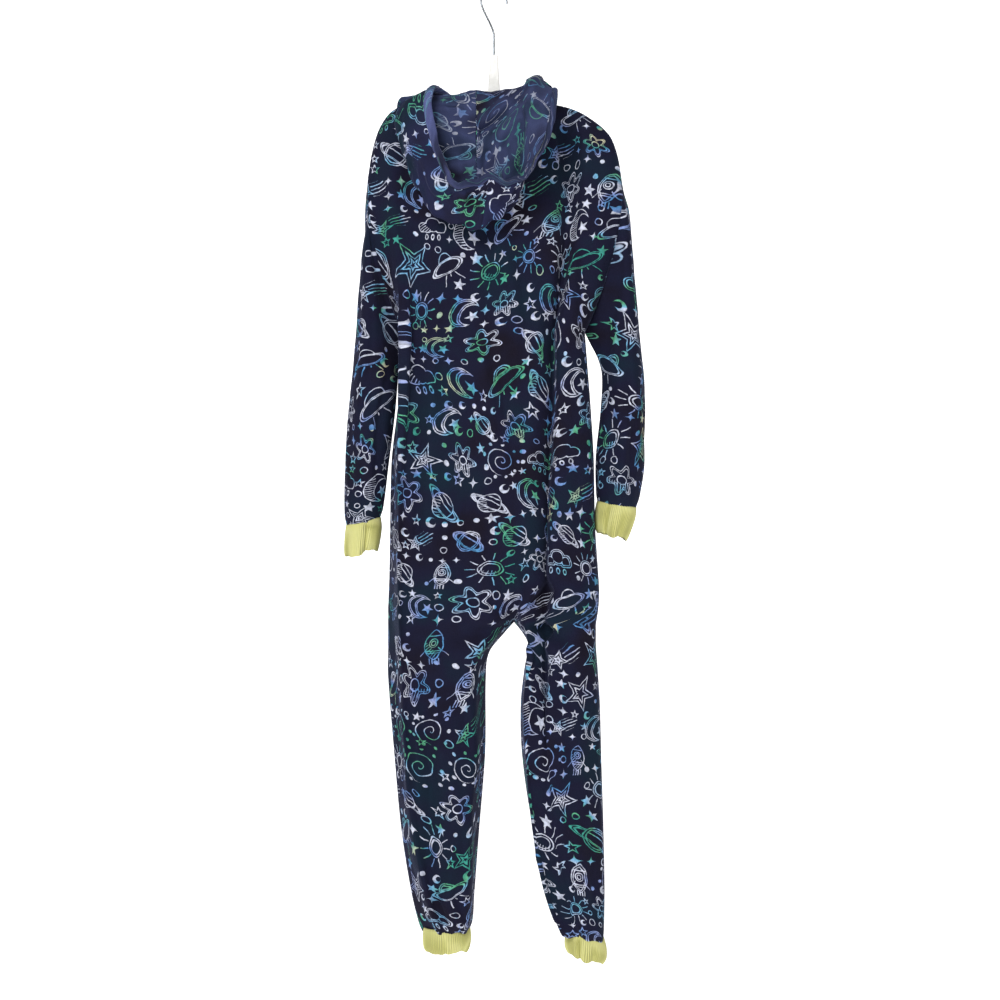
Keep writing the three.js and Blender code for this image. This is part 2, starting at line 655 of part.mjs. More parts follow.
// A leg's ring as its back points from the outer to the inner seam and its front points likewise
function legRing(table, t, side) {
  const at = (column) => along(table, 't', column, t);
  const columns = side > 0 ? frontLeftColumns : frontRightColumns;
  const backKeys = side > 0
    ? backLeftKeys(at('outerX'), at('crease'), at('innerX'), at('back'), 1)
    : backRightKeys(at('innerX'), at('groove'), at('outerX'), at('back'), at('grooveDepth'), 1);
  const first = side > 0 ? 0 : crotchColumn;
  const final = side > 0 ? crotchColumn : lastColumn;
  const tilt = (x) => mix(at('outerZ'), at('innerZ'), (x - at('outerX')) / (at('innerX') - at('outerX')));
  const back = sectionPoints(backKeys, first, final).map(([x, y], k) => {
    const z = tilt(x) + hemLobe(t, k / (final - first), 3);
    return [x, y + puckerAt(x, z) * (y > 20 ? 1 : 0), z];
  });
  const front = sectionPoints(frontKeys(at('outerX'), at('innerX'), columns, at('front'), 1), 0, columns)
    .map(([x, y]) => [x, y, tilt(x)]);
  return { back, front };
}

function addLeg(table, side) {
  const crotchRow = backRows[backRows.length - 1];
  const firstFront = (side > 0 ? frontLeftRows : frontRightRows).at(-1);
  const backGrid = [side > 0 ? crotchRow.slice(0, crotchColumn + 1) : crotchRow.slice(crotchColumn)];
  const frontGrid = [firstFront];
  for (const t of legSteps) {
    const ring = legRing(table, t, side);
    const backRow = ring.back.map((p) => addPoint(body, ...p));
    const outer = side > 0 ? backRow[0] : backRow[backRow.length - 1];
    const inner = side > 0 ? backRow[backRow.length - 1] : backRow[0];
    const frontRow = ring.front.map((p, k) => {
      if (k === 0) {
        return outer;
      }
      return k === ring.front.length - 1 ? inner : addPoint(body, ...p);
    });
    backGrid.push(backRow);
    frontGrid.push(frontRow);
  }
  addGrid(body, 'back', backGrid, true);
  addGrid(body, side > 0 ? 'front_left' : 'front_right', frontGrid, side < 0);
  const backHem = backGrid[backGrid.length - 1];
  const frontHem = frontGrid[frontGrid.length - 1].slice(1, -1);
  return side > 0
    ? [...backHem, ...frontHem.reverse(), backHem[0]]
    : [...backHem.slice().reverse(), ...frontHem.reverse(), backHem[backHem.length - 1]];
}
const leftHem = addLeg(leftLeg, 1);
const rightHem = addLeg(rightLeg, -1);

// A sleeve's rings, the first of which is the armhole that the back and the front already hold
function addSleeve(name, table, side) {
  const frontRows = side > 0 ? frontLeftRows : frontRightRows;
  const edge = side > 0 ? 0 : lastColumn;
  const armhole = [];
  for (let row = 0; row <= armholeSteps; row += 1) {
    armhole.push(backRows[row][edge]);
  }
  for (let row = armholeSteps - 1; row >= 0; row -= 1) {
    armhole.push(frontRows[row][0]);
  }
  const rings = [armhole];
  const around = armholeSteps * 2;
  for (const t of sleeveSteps) {
    const ring = [];
    for (let k = 0; k < around; k += 1) {
      ring.push(addPoint(body, ...sleevePoint(table, t, k / around)));
    }
    rings.push([...ring, ring[0]]);
  }
  addGrid(body, name, rings, side > 0);
  return rings[rings.length - 1];
}
const leftWristSeam = addSleeve('sleeve_left', leftSleeve, 1);
const rightWristSeam = addSleeve('sleeve_right', rightSleeve, -1);

// A rib cuff below a seam ring, with the same points round it
function addCuff(name, seam, table, side, turns) {
  const rings = [seam];
  for (const row of table) {
    const ring = turns.map((turn) => {
      const swing = Math.cos(turn * Math.PI * 2);
      const depth = Math.sin(turn * Math.PI * 2);
      const half = (1 - swing) / 2;
      return addPoint(
        body,
        mix(row.outerX, row.innerX, half),
        depth * (depth > 0 ? row.back : row.front),
        mix(row.outerZ, row.innerZ, half),
      );
    });
    rings.push([...ring, ring[0]]);
  }
  addGrid(body, name, rings, side > 0);
}

// The turn of each seam point about its own ring, so that a cuff's points stay under the seam's
function seamTurns(seam) {
  const points = seam.slice(0, -1).map((id) => body.points[id]);
  const outer = points[0];
  const lowX = Math.min(...points.map((p) => p.x));
  const highX = Math.max(...points.map((p) => p.x));
  const middle = (lowX + highX) / 2;
  const halfWidth = (highX - lowX) / 2;
  const deepest = Math.max(...points.map((p) => Math.abs(p.y)));
  const facing = Math.sign(outer.x - middle);
  return points.map((p) => {
    const turn = Math.atan2(p.y / deepest, facing * (p.x - middle) / halfWidth) / (Math.PI * 2);
    return turn < -1e-6 ? turn + 1 : turn;
  });
}
addCuff('wrist_cuff_left', leftWristSeam, leftWrist, 1, seamTurns(leftWristSeam));
addCuff('wrist_cuff_right', rightWristSeam, rightWrist, -1, seamTurns(rightWristSeam));
addCuff('ankle_cuff_left', leftHem, leftAnkle, 1, seamTurns(leftHem));
addCuff('ankle_cuff_right', rightHem, rightAnkle, -1, seamTurns(rightHem));

const bodyNormals = sheetNormals(body);

// The hood: its first row stands on the neckline, just clear of it
const hood = newSheet();
const hoodColumns = 11;
const lastHoodStation = 10;
const neckShifts = {};
for (const name of ['back', 'front_left', 'front_right']) {
  neckShifts[name] = seamShifts(body, bodyNormals, name, openEdges(body.panels[name]));
}

function neckPoint(id, panels) {
  const lift = new THREE.Vector3();
  for (const name of panels) {
    lift.add(neckShifts[name].get(id));
  }
  lift.z = Math.min(lift.z, 0);
  lift.normalize().multiplyScalar(-seamGap);
  return body.points[id].clone().add(lift).add(new THREE.Vector3(0, 0, seamGap / 2));
}

function neckRow(side) {
  const row = [];
  const frontRow = side > 0 ? frontLeftRows[0] : frontRightRows[0];
  const name = side > 0 ? 'front_left' : 'front_right';
  const shoulder = side > 0 ? neckLeftColumn : rightShoulderColumns;
  for (let k = frontRow.length - 2; k > shoulder; k -= 1) {
    row.push(neckPoint(frontRow[k], [name]));
  }
  row.push(neckPoint(frontRow[shoulder], [name, 'back']));
  const step = side > 0 ? 1 : -1;
  const firstColumn = side > 0 ? neckLeftColumn : neckRightColumn;
  for (let column = firstColumn + step; column !== neckBackColumn + step; column += step) {
    row.push(neckPoint(backRows[0][column], ['back']));
  }
  return row;
}

// One hood section: rim, front of the pouch, side fold, back of the pouch and centre seam
function hoodSection(table, station) {
  const at = (column) => along(table, 'row', column, station);
  const rim = new THREE.Vector3(at('rimX'), at('rimY'), at('rimZ'));
  const side = new THREE.Vector3(at('sideX'), at('sideY'), at('sideZ'));
  const seamAt = (column) => along(hoodSeam, 'row', column, station);
  const seam = new THREE.Vector3(seamAt('x'), seamAt('y'), seamAt('z'));
  const front = rim.clone().lerp(side, 0.5);
  const outward = front.clone().sub(seam).normalize();
  front.addScaledVector(outward, at('bulge'));
  const back = side.clone().lerp(seam, 0.5);
  back.y = Math.max(back.y - 4, back.z < -190 ? 54 : 0);
  const keys = [[0, rim], [2.4, front], [5, side], [8, back], [hoodColumns, seam]]
    .map(([place, point]) => ({ at: place, x: point.x, y: point.y, z: point.z }));
  const points = [];
  for (let column = 0; column <= hoodColumns; column += 1) {
    points.push(new THREE.Vector3(
      along(keys, 'at', 'x', column),
      along(keys, 'at', 'y', column),
      along(keys, 'at', 'z', column),
    ));
  }
  return points;
}

function hoodGrid(table, side, shared) {
  const rows = [];
  const first = neckRow(side);
  for (let r = 0; r < hoodRows; r += 1) {
    const share = r / (hoodRows - 1);
    const station = share * lastHoodStation;
    const lifted = hoodSection(table, Math.max(station, 1));
    const points = station < 1 ? lifted.map((p, k) => first[k].clone().lerp(p, station)) : lifted;
    rows.push(points.map((p, k) => {
      const onSeam = k === hoodColumns || r === hoodRows - 1;
      if (onSeam && shared) {
        return shared[r][k];
      }
      return addPoint(hood, p.x, p.y, p.z);
    }));
  }
  return rows;
}
const hoodLeftRows = hoodGrid(hoodLeft, 1, null);
const hoodRightRows = hoodGrid(hoodRight, -1, hoodLeftRows);
addGrid(hood, 'hood_left', hoodLeftRows, false);
addGrid(hood, 'hood_right', hoodRightRows, true);
const hoodNormals = sheetNormals(hood);

// A closed tube of oval section along a row of points: reach is its half width along each point's out
// direction and swell its half thickness
function ovalTube(stations, reach, swell, sides) {
  const points = [];
  const faces = [];
  for (const { centre, out, up } of stations) {
    for (let k = 0; k < sides; k += 1) {
      const angle = k / sides * Math.PI * 2;
      points.push(centre.clone()
        .addScaledVector(out, reach * Math.cos(angle))
        .addScaledVector(up, swell * Math.sin(angle)));
    }
  }
  const last = stations.length - 1;
  for (let s = 0; s < last; s += 1) {
    for (let k = 0; k < sides; k += 1) {
      const next = (k + 1) % sides;
      const a = s * sides + k;
      const b = s * sides + next;
      faces.push([a, b, b + sides], [a, b + sides, a + sides]);
    }
  }
  for (let k = 1; k + 1 < sides; k += 1) {
    faces.push([0, k + 1, k]);
    faces.push([last * sides, last * sides + k, last * sides + k + 1]);
  }
  return outwardGeometry(points, faces);
}

// Turns a solid's faces outwards by the sign of its volume
function outwardGeometry(points, faces) {
  const wedge = ([a, b, c]) => points[a].dot(points[b].clone().cross(points[c]));
  const volume = faces.reduce((total, face) => total + wedge(face), 0);
  return solidGeometry(points, volume < 0 ? faces.map(([a, b, c]) => [a, c, b]) : faces);
}

// The hem runs up the left rim, over the forehead and down the right rim
const rimIds = [
  ...hoodLeftRows.map((row) => ({ edge: row[0], next: row[1] })),
  ...hoodRightRows.slice(0, -1).reverse().map((row) => ({ edge: row[0], next: row[1] })),
];
const hemStations = rimIds.map(({ edge, next }, k) => {
  const before = hood.points[rimIds[Math.max(k - 1, 0)].edge];
  const after = hood.points[rimIds[Math.min(k + 1, rimIds.length - 1)].edge];
  const run = after.clone().sub(before).normalize();
  const normal = hoodNormals[edge].clone();
  normal.addScaledVector(run, -normal.dot(run)).normalize();
  const out = run.clone().cross(normal).normalize();
  const away = hood.points[edge].clone().sub(hood.points[next]);
  if (out.dot(away) < 0) {
    out.negate();
  }
  const centre = hood.points[edge].clone()
    .addScaledVector(out, hoodHemWidth / 2 + 2 * seamGap)
    .addScaledVector(normal, -fleeceThickness / 2);
  return { centre, out, up: normal };
});
const hoodHem = ovalTube(hemStations, hoodHemWidth / 2, hoodHemThickness / 2, 8);

// A zip tape inside the front's centre edge, made from the edge's own points
function zipTape(side) {
  const rows = side > 0 ? frontLeftRows : frontRightRows;
  const points = [];
  const faces = [];
  for (let row = 0; row <= zipRows; row += 1) {
    const id = rows[row][rows[row].length - 1];
    const edge = body.points[id];
    const normal = new THREE.Vector3(0, bodyNormals[id].y, bodyNormals[id].z).normalize();
    const centreX = edge.x - side * zipHalfOpening;
    const start = row === 0 ? new THREE.Vector3(0, 0, -2) : new THREE.Vector3();
    for (const [across, inside] of [[0, 0], [1, 0], [1, 1], [0, 1]]) {
      const x = centreX + side * (seamGap / 2 + across * zipTapeWidth);
      const depth = fleeceThickness + seamGap * 1.4 + inside * zipTapeThickness;
      points.push(new THREE.Vector3(x, edge.y, edge.z).addScaledVector(normal, -depth).add(start));
    }
    if (row > 0) {
      for (let k = 0; k < 4; k += 1) {
        const a = (row - 1) * 4 + k;
        const b = (row - 1) * 4 + (k + 1) % 4;
        faces.push([a, b, b + 4], [a, b + 4, a + 4]);
      }
    }
  }
  const end = zipRows * 4;
  faces.push([0, 2, 1], [0, 3, 2], [end, end + 1, end + 2], [end, end + 2, end + 3]);
  return outwardGeometry(points, faces);
}

// Joins and cuts of closed solids
function toSolid(geometry) {
  const plain = geometry.clone();
  plain.deleteAttribute('normal');
  plain.deleteAttribute('uv');
  const merged = mergeVertices(plain, 1e-4);
  const vertProperties = new Float32Array(merged.attributes.position.array);
  const triVerts = new Uint32Array(merged.index.array);
  return new wasm.Manifold(new wasm.Mesh({ numProp: 3, vertProperties, triVerts }));
}

function fromSolid(solid) {
  const mesh = solid.getMesh();
  const geometry = new THREE.BufferGeometry();
  geometry.setAttribute('position', new THREE.BufferAttribute(new Float32Array(mesh.vertProperties), 3));
  geometry.setIndex(new THREE.BufferAttribute(new Uint32Array(mesh.triVerts), 1));
  geometry.computeVertexNormals();
  return geometry;
}

function block(width, depth, height, x, y, z) {
  return toSolid(new THREE.BoxGeometry(width, depth, height).translate(x, y, z));
}

// The slider and its pull tab, in their own frame: y 0 is the slider's back, its face towards -Y
const slider = {
  width: 8, height: 13, thickness: 3.6, bridgeWidth: 2, bridgeLength: 9, bridgeWall: 1.4, window: 2.8,
};
const pull = { width: 8, length: 24, thickness: 1.5, slotWidth: 3.4, slotLength: 8, barWidth: 1.5 };
const pullAxisY = -slider.thickness - slider.window / 2;

function sliderGeometry() {
  const outline = new THREE.Shape();
  const half = slider.width / 2;
  const tail = half * 0.72;
  const top = slider.height / 2;
  outline.moveTo(-tail, -top);
  outline.lineTo(tail, -top);
  outline.lineTo(half, -top * 0.1);
  outline.lineTo(half, top * 0.7);
  outline.lineTo(half * 0.6, top);
  outline.lineTo(-half * 0.6, top);
  outline.lineTo(-half, top * 0.7);
  outline.lineTo(-half, -top * 0.1);
  outline.closePath();
  const plate = new THREE.ExtrudeGeometry(outline, { depth: slider.thickness, bevelEnabled: false });
  plate.rotateX(Math.PI / 2);
  const outerDepth = slider.window + slider.bridgeWall;
  const root = slider.bridgeWall / 2;
  const archMiddle = -slider.thickness - outerDepth / 2 + root / 2;
  const arch = block(slider.bridgeWidth, outerDepth + root, slider.bridgeLength, 0, archMiddle, 0);
  const hollow = block(
    slider.bridgeWidth + 2,
    slider.window,
    slider.bridgeLength - 2 * slider.bridgeWall,
    0,
    -slider.thickness - slider.window / 2,
    0,
  );
  return fromSolid(toSolid(plate).add(arch).subtract(hollow));
}

// The tab hangs from the bar that runs under the slider's bridge
function pullGeometry() {
  const half = pull.width / 2;
  const outline = new THREE.Shape();
  outline.moveTo(-half * 0.8, pull.barWidth / 2);
  outline.lineTo(-half, -pull.slotLength);
  outline.lineTo(-half * 0.62, -pull.slotLength - 3);
  outline.lineTo(-half, -pull.length + half);
  outline.absarc(0, -pull.length + half, half, Math.PI, Math.PI * 2, false);
  outline.lineTo(half * 0.62, -pull.slotLength - 3);
  outline.lineTo(half, -pull.slotLength);
  outline.lineTo(half * 0.8, pull.barWidth / 2);
  outline.closePath();
  const options = { depth: pull.thickness, bevelEnabled: false, curveSegments: 8 };
  const tab = new THREE.ExtrudeGeometry(outline, options);
  tab.translate(0, 0, -pull.thickness / 2).rotateX(Math.PI / 2);
  const slotMiddle = -pull.barWidth / 2 - pull.slotLength / 2 + 1;
  const slot = block(pull.slotWidth, pull.thickness * 3, pull.slotLength - 2, 0, 0, slotMiddle);
  return fromSolid(toSolid(tab).subtract(slot));
}

// The hanger: two arms under the shoulder seams, joined at a neck that holds the hook
const hanger = {
  leftTip: 150, rightTip: -157, armDrop: 10, armHeight: 15, tipHeight: 10, thickness: 5, bevel: 1,
  neckTop: -102, neckHalf: 8,
};

function shoulderHeight(x) {
  const table = x > 0 ? leftShoulder : rightShoulder;
  const keyed = table.map(({ x: place, z }) => ({ place, z }));
  return along(keyed, 'place', 'z', x);
}

function hangerGeometry() {
  const top = [];
  const low = [];
  const armTop = (x) => {
    if (x > neckLeft || x < neckRight) {
      return shoulderHeight(x) - hanger.armDrop;
    }
    const edge = x > 0 ? neckLeft : neckRight;
    return mix(-150, neckSideHeight - hanger.armDrop, (x / edge) ** 0.8);
  };
  for (const x of [hanger.leftTip, 143, 134, 120, neckLeft, 78, 52, 28, hanger.neckHalf]) {
    const height = mix(hanger.armHeight, hanger.tipHeight, x / hanger.leftTip);
    top.push([x, armTop(x)]);
    low.unshift([x, armTop(x) - height]);
  }
  const rightTop = [];
  const rightLow = [];
  for (const x of [-hanger.neckHalf, -26, -52, neckRight, -98, -116, -132, -146, hanger.rightTip]) {
    const height = mix(hanger.armHeight, hanger.tipHeight, x / hanger.rightTip);
    rightTop.push([x, armTop(x)]);
    rightLow.unshift([x, armTop(x) - height]);
  }
  const outline = new THREE.Shape();
  const points = [
    ...top,
    [hanger.neckHalf * 0.6, hanger.neckTop],
    [-hanger.neckHalf * 0.6, hanger.neckTop],
    ...rightTop,
    ...rightLow,
    ...low,
  ];
  points.forEach(([x, z], k) => (k === 0 ? outline.moveTo(x, z) : outline.lineTo(x, z)));
  outline.closePath();
  const options = {
    depth: hanger.thickness,
    bevelThickness: hanger.bevel,
    bevelSize: hanger.bevel,
    bevelSegments: 1,
  };
  const plate = new THREE.ExtrudeGeometry(outline, options);
  plate.translate(0, 0, -hanger.thickness / 2).rotateX(Math.PI / 2);
  return fromSolid(toSolid(plate));
}

// The hook's wire: a straight shank, then a loop round to the far side
function hookPath() {
  const centre = new THREE.Vector3(0, 0, -hookLoopRadius + hookWireRadius);
  const path = new THREE.CurvePath();
  const point = (x, z) => new THREE.Vector3(x, 0, z);
  const shankTop = point(0, -63);
  const loopStart = point(hookLoopRadius, centre.z);
  path.add(new THREE.LineCurve3(point(0, hanger.neckTop + 0.8 + hanger.bevel), shankTop));
  path.add(new THREE.CubicBezierCurve3(shankTop, point(0, -50), point(hookLoopRadius, -38), loopStart));
  const arc = [];
  for (let k = 0; k <= 12; k += 1) {
    const angle = k / 12 * Math.PI * 1.08;
    arc.push(point(hookLoopRadius * Math.cos(angle), centre.z + hookLoopRadius * Math.sin(angle)));
  }
  path.add(new THREE.CatmullRomCurve3(arc));
  return path;
}

function hookGeometry() {
  const path = hookPath();
  const steps = 34;
  const stations = [];
  for (let k = 0; k <= steps; k += 1) {
    const centre = path.getPointAt(k / steps);
    const run = path.getTangentAt(k / steps);
    const up = new THREE.Vector3(0, 1, 0);
    stations.push({ centre, out: run.clone().cross(up).normalize(), up });
  }
  return ovalTube(stations, hookWireRadius, hookWireRadius, 8);
}

function material(name, roughness, metalness) {
  return new THREE.MeshStandardMaterial({ color: colours[name], roughness, metalness });
}

const group = new THREE.Group();
function addMesh(name, geometry, surface) {
  const mesh = new THREE.Mesh(geometry, surface);
  mesh.name = name;
  group.add(mesh);
  return mesh;
}

for (const name of ['back', 'front_left', 'front_right', 'sleeve_left', 'sleeve_right']) {
  addMesh(name, wallGeometry(body, bodyNormals, name, fleeceThickness), material('fleece', 0.95, 0));
}
for (const name of ['wrist_cuff_left', 'wrist_cuff_right', 'ankle_cuff_left', 'ankle_cuff_right']) {
  addMesh(name, wallGeometry(body, bodyNormals, name, ribThickness), material('rib', 0.9, 0));
}
for (const name of ['hood_left', 'hood_right']) {
  addMesh(name, wallGeometry(hood, hoodNormals, name, fleeceThickness), material('fleece', 0.95, 0));
}
addMesh('hood_hem', hoodHem, material('hem', 0.95, 0));
addMesh('zip_tape_left', zipTape(1), material('tape', 0.9, 0));
addMesh('zip_tape_right', zipTape(-1), material('tape', 0.9, 0));

// The slider sits in the gap between the fronts, close to the top of the zip
const sliderRow = 1;
const sliderLow = body.points[frontLeftRows[sliderRow + 1][frontLeftColumns]];
const sliderTop = body.points[frontLeftRows[sliderRow][frontLeftColumns]];
const sliderSeat = sliderTop.clone().lerp(sliderLow, 0.5);
sliderSeat.x -= zipHalfOpening;
sliderSeat.y += fleeceThickness - seamGap / 2;
addMesh('zip_slider', sliderGeometry(), material('zip', 0.35, 1)).position.copy(sliderSeat);
addMesh('zip_pull', pullGeometry(), material('zip', 0.35, 1)).position.copy(sliderSeat).y += pullAxisY;

addMesh('hanger_body', hangerGeometry(), material('hanger', 0.5, 0));
addMesh('hanger_hook', hookGeometry(), material('wire', 0.25, 1));

export default group;
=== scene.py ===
import math

import bpy
import numpy as np
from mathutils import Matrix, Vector, noise


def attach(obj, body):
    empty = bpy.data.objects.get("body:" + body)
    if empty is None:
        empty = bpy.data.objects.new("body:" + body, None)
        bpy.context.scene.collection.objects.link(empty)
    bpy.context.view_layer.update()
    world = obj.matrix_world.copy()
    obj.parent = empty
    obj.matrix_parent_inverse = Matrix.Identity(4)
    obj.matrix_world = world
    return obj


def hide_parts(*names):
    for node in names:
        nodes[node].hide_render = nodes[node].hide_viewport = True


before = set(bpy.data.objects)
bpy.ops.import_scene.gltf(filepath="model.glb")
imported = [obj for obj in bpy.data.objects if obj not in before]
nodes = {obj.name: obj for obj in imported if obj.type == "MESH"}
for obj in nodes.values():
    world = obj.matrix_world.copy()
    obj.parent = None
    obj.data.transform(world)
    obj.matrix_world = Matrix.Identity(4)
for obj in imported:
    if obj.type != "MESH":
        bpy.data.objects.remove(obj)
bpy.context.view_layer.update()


# Back
# The back and both back legs are one cut of printed polyester fleece, with no centre seam. It hangs
# from the hanger in long folds: a pressed crease down the left, a deep trough down the right, and
# puckers that fan out from the crotch. Sizes in the tables are millimetres in the frame's own axes.
def columns(names, rows):
    """A table as one list for each named column."""
    return {name: [row[k] for row in rows] for k, name in enumerate(names.split())}


def along(table, key, column, at):
    """A smooth curve through a table: the named column at a place along the key column."""
    keys, values = table[key], table[column]
    last = len(keys) - 1
    rising = keys[last] > keys[0]
    i = 0
    while i < last - 1 and (at > keys[i + 1] if rising else at < keys[i + 1]):
        i += 1

    def slope(k):
        low, high = max(k - 1, 0), min(k + 1, last)
        return (values[high] - values[low]) / (keys[high] - keys[low])

    span = keys[i + 1] - keys[i]
    t = min(max((at - keys[i]) / span, 0), 1)
    start = (2 * t**3 - 3 * t**2 + 1) * values[i] + (t**3 - 2 * t**2 + t) * span * slope(i)
    end = (3 * t**2 - 2 * t**3) * values[i + 1] + (t**3 - t**2) * span * slope(i + 1)
    return start + end


def row_at(table, key, at):
    """All of a table's columns at a place along the key column, by name."""
    return {name: along(table, key, name, at) for name in table}


def mix(a, b, share):
    return a + (b - a) * share


armpit_z, crotch_x, crotch_z = -518, -30, -951


left_shoulder = columns("column x z", [
    (0, 189, -285), (1, 182, -243), (2, 170, -207), (3, 147, -181), (4, 104, -173),
])
right_shoulder = columns("column x z", [
    (18, -80, -173), (20, -112, -180), (22, -140, -193), (24, -173, -221), (25, -185, -252), (26, -193, -298),
])
torso = columns("z left crease centre groove right back front groove_depth cleft", [
    (-518, 138.5, 132, -8, -89, -136.5, 56, 50, 27, 0),
    (-570, 141, 132, -11, -87, -140.5, 57, 51, 28, 0),
    (-620, 143.5, 133, -14, -86, -144.5, 58, 52, 29, 0),
    (-700, 153, 138, -18, -82, -149.5, 58, 52, 29, 0),
    (-745, 155, 139, -21, -80, -150.5, 58, 52, 29, 0),
    (-810, 156, 140, -24, -79, -152, 57, 51, 28, 0),
    (-878, 157, 141, -28, -77, -156.5, 56, 50, 27, 0.04),
    (-908, 158, 141, -29, -77, -158, 55, 49, 26, 0.15),
    (-932, 159, 141, -30, -76, -156.5, 54, 48, 25, 0.4),
    (-951, 159, 140, -30, -76, -153.5, 53, 47, 24, 1),
])
left_leg = columns("t outer_x outer_z inner_x inner_z crease back front", [
    (0, 159, -951, -30, -951, 140, 53, 47),
    (0.04, 159, -969, -14, -969, 139, 52, 46),
    (0.1, 159, -996, 7, -996, 138, 51, 45),
    (0.18, 159, -1032, 12, -1032, 136, 50, 44),
    (0.42, 150, -1145, 13, -1145, 131, 48, 42),
    (0.66, 139, -1262, 22, -1260, 119, 46, 40),
    (0.86, 124, -1356, 29, -1354, 99, 43, 37),
    (0.95, 113, -1400, 32, -1396, 87, 40, 35),
    (1, 105, -1416, 38, -1412, 82, 31, 28),
])
right_leg = columns("t outer_x outer_z inner_x inner_z groove back front groove_depth", [
    (0, -153, -951, -30, -951, -76, 53, 47, 24),
    (0.04, -153, -969, -44, -969, -77, 52, 46, 23),
    (0.07, -153, -985, -51, -984, -77, 51, 45, 23),
    (0.16, -156, -1026, -45, -1024, -76, 50, 44, 22),
    (0.26, -159, -1075, -40, -1074, -75, 49, 43, 18),
    (0.42, -161, -1152, -42, -1150, -76, 48, 42, 7),
    (0.62, -164, -1250, -56, -1247, -84, 46, 40, 3),
    (0.82, -166, -1348, -79, -1343, -100, 43, 37, 4),
    (0.95, -165, -1410, -104, -1403, -120, 38, 34, 7),
    (1, -163, -1430, -110, -1417, -128, 29, 27, 1),
])
left_sleeve = columns("t outer_x outer_z inner_x inner_z back front ridge bow", [
    (0, 189, -285, 138.5, -518, 27, 24, 0.5, 11),
    (0.12, 192, -342, 141.5, -531, 33, 28, 0.45, 7),
    (0.28, 199, -430, 143, -558, 37, 32, 0.3, 3),
    (0.46, 208, -528, 144.5, -592, 38, 34, 0.15, 0),
    (0.64, 218, -618, 148.5, -640, 38, 34, 0, 0),
    (0.8, 223, -712, 157.5, -712, 36, 33, -0.1, 0),
    (0.95, 225, -788, 166, -779, 33, 31, 0, 0),
    (1, 220, -810, 172, -798, 26, 25, 0, 0),
])
right_sleeve = columns("t outer_x outer_z inner_x inner_z back front ridge bow", [
    (0, -193, -298, -136.5, -518, 27, 24, 0.55, -11),
    (0.12, -204, -360, -144, -533, 33, 28, 0.5, -7),
    (0.28, -211, -438, -156, -557, 37, 32, 0.4, -3),
    (0.46, -218, -514, -162, -585, 38, 34, 0.2, 0),
    (0.64, -226, -612, -159.5, -636, 38, 34, 0.1, 0),
    (0.8, -226, -698, -152.5, -705, 36, 33, 0, 0),
    (0.94, -219, -760, -153, -758, 33, 31, 0, 0),
    (1, -212, -783, -156, -774, 27, 26, 0, 0),
])


def sleeve_point(table, t, turn):
    """A sleeve's ring: turn 0 is its outer edge, a half turn its inner edge, between them the back."""
    swing, depth = math.cos(turn * math.tau), math.sin(turn * math.tau)
    half = (1 - swing) / 2
    at = row_at(table, "t", t)
    fullness = at["back"] * (1 + at["ridge"] * swing) if depth > 0 else at["front"]
    x = mix(at["outer_x"], at["inner_x"], half) + at["bow"] * depth * depth
    return x, fullness * depth, mix(at["outer_z"], at["inner_z"], half)


def section(keys, places):
    """The curve through a section's few key points, read at each column."""
    table = columns("at x y", keys)
    return [(along(table, "at", "x", c), along(table, "at", "y", c)) for c in places]


def back_left_keys(outer, crease, inner, depth, cleft):
    return [
        (0, outer, 0), (1.6, mix(outer, crease, 0.6), depth * 0.5), (3, crease, depth * 0.97),
        (4.2, crease - 9, depth * 0.87), (9, mix(crease, inner, 0.52), depth),
        (13, mix(crease, inner, 0.86), depth * mix(1, 0.84, cleft)), (15, inner, depth * (1 - cleft)),
    ]


def back_right_keys(inner, groove, outer, depth, groove_depth, cleft):
    """The right part of a section, with its trough: a long slope in, and a steep side to the strip."""
    lip, slope, steep = depth * 0.96, 25, 7
    return [
        (15, inner, depth * (1 - cleft)),
        (16.5, mix(inner, groove + slope, 0.5), depth * mix(1, 0.85, cleft)),
        (18, groove + slope, lip), (19, groove + slope * 0.42, lip - groove_depth * 0.42),
        (20, groove, lip - groove_depth * 0.92), (21, groove - steep * 0.45, lip - groove_depth * 0.72),
        (22, groove - steep, lip - 1), (22.8, mix(groove - steep, outer, 0.2), lip + 1.5),
        (24, mix(groove - steep, outer, 0.62), depth * 0.88),
        (25, mix(groove - steep, outer, 0.93), depth * 0.55), (26, outer, 0),
    ]


def front_keys(outer, inner, last, depth, cleft):
    return [
        (0, outer, 0), (last * 0.2, mix(outer, inner, 0.05), -depth * 0.6),
        (last * 0.4, mix(outer, inner, 0.24), -depth * 0.92),
        (last * 0.8, mix(outer, inner, 0.78), -depth * mix(1, 0.85, cleft)),
        (last, inner, -depth * (1 - cleft)),
    ]


def torso_section(z):
    at = row_at(torso, "z", z)
    left = back_left_keys(at["left"], at["crease"], at["centre"], at["back"], at["cleft"])
    right = back_right_keys(
        at["centre"], at["groove"], at["right"], at["back"], at["groove_depth"], at["cleft"])
    return {
        "back": left + right[1:],
        "left": front_keys(at["left"], at["centre"], 10, at["front"], at["cleft"]),
        "right": front_keys(at["right"], at["centre"], 12, at["front"], at["cleft"]),
    }


def top_edge(c):
    """The left shoulder seam, the back neckline and the right shoulder seam, by back column."""
    if c <= 4:
        return along(left_shoulder, "column", "x", c), 0, along(left_shoulder, "column", "z", c)
    if c >= 18:
        return along(right_shoulder, "column", "x", c), 0, along(right_shoulder, "column", "z", c)
    sag = math.sin(math.pi * (c - 4) / 14)
    return mix(104, -80, (c - 4) / 14), 34 * max(sag, 0) ** 0.8, -173 - 7 * sag


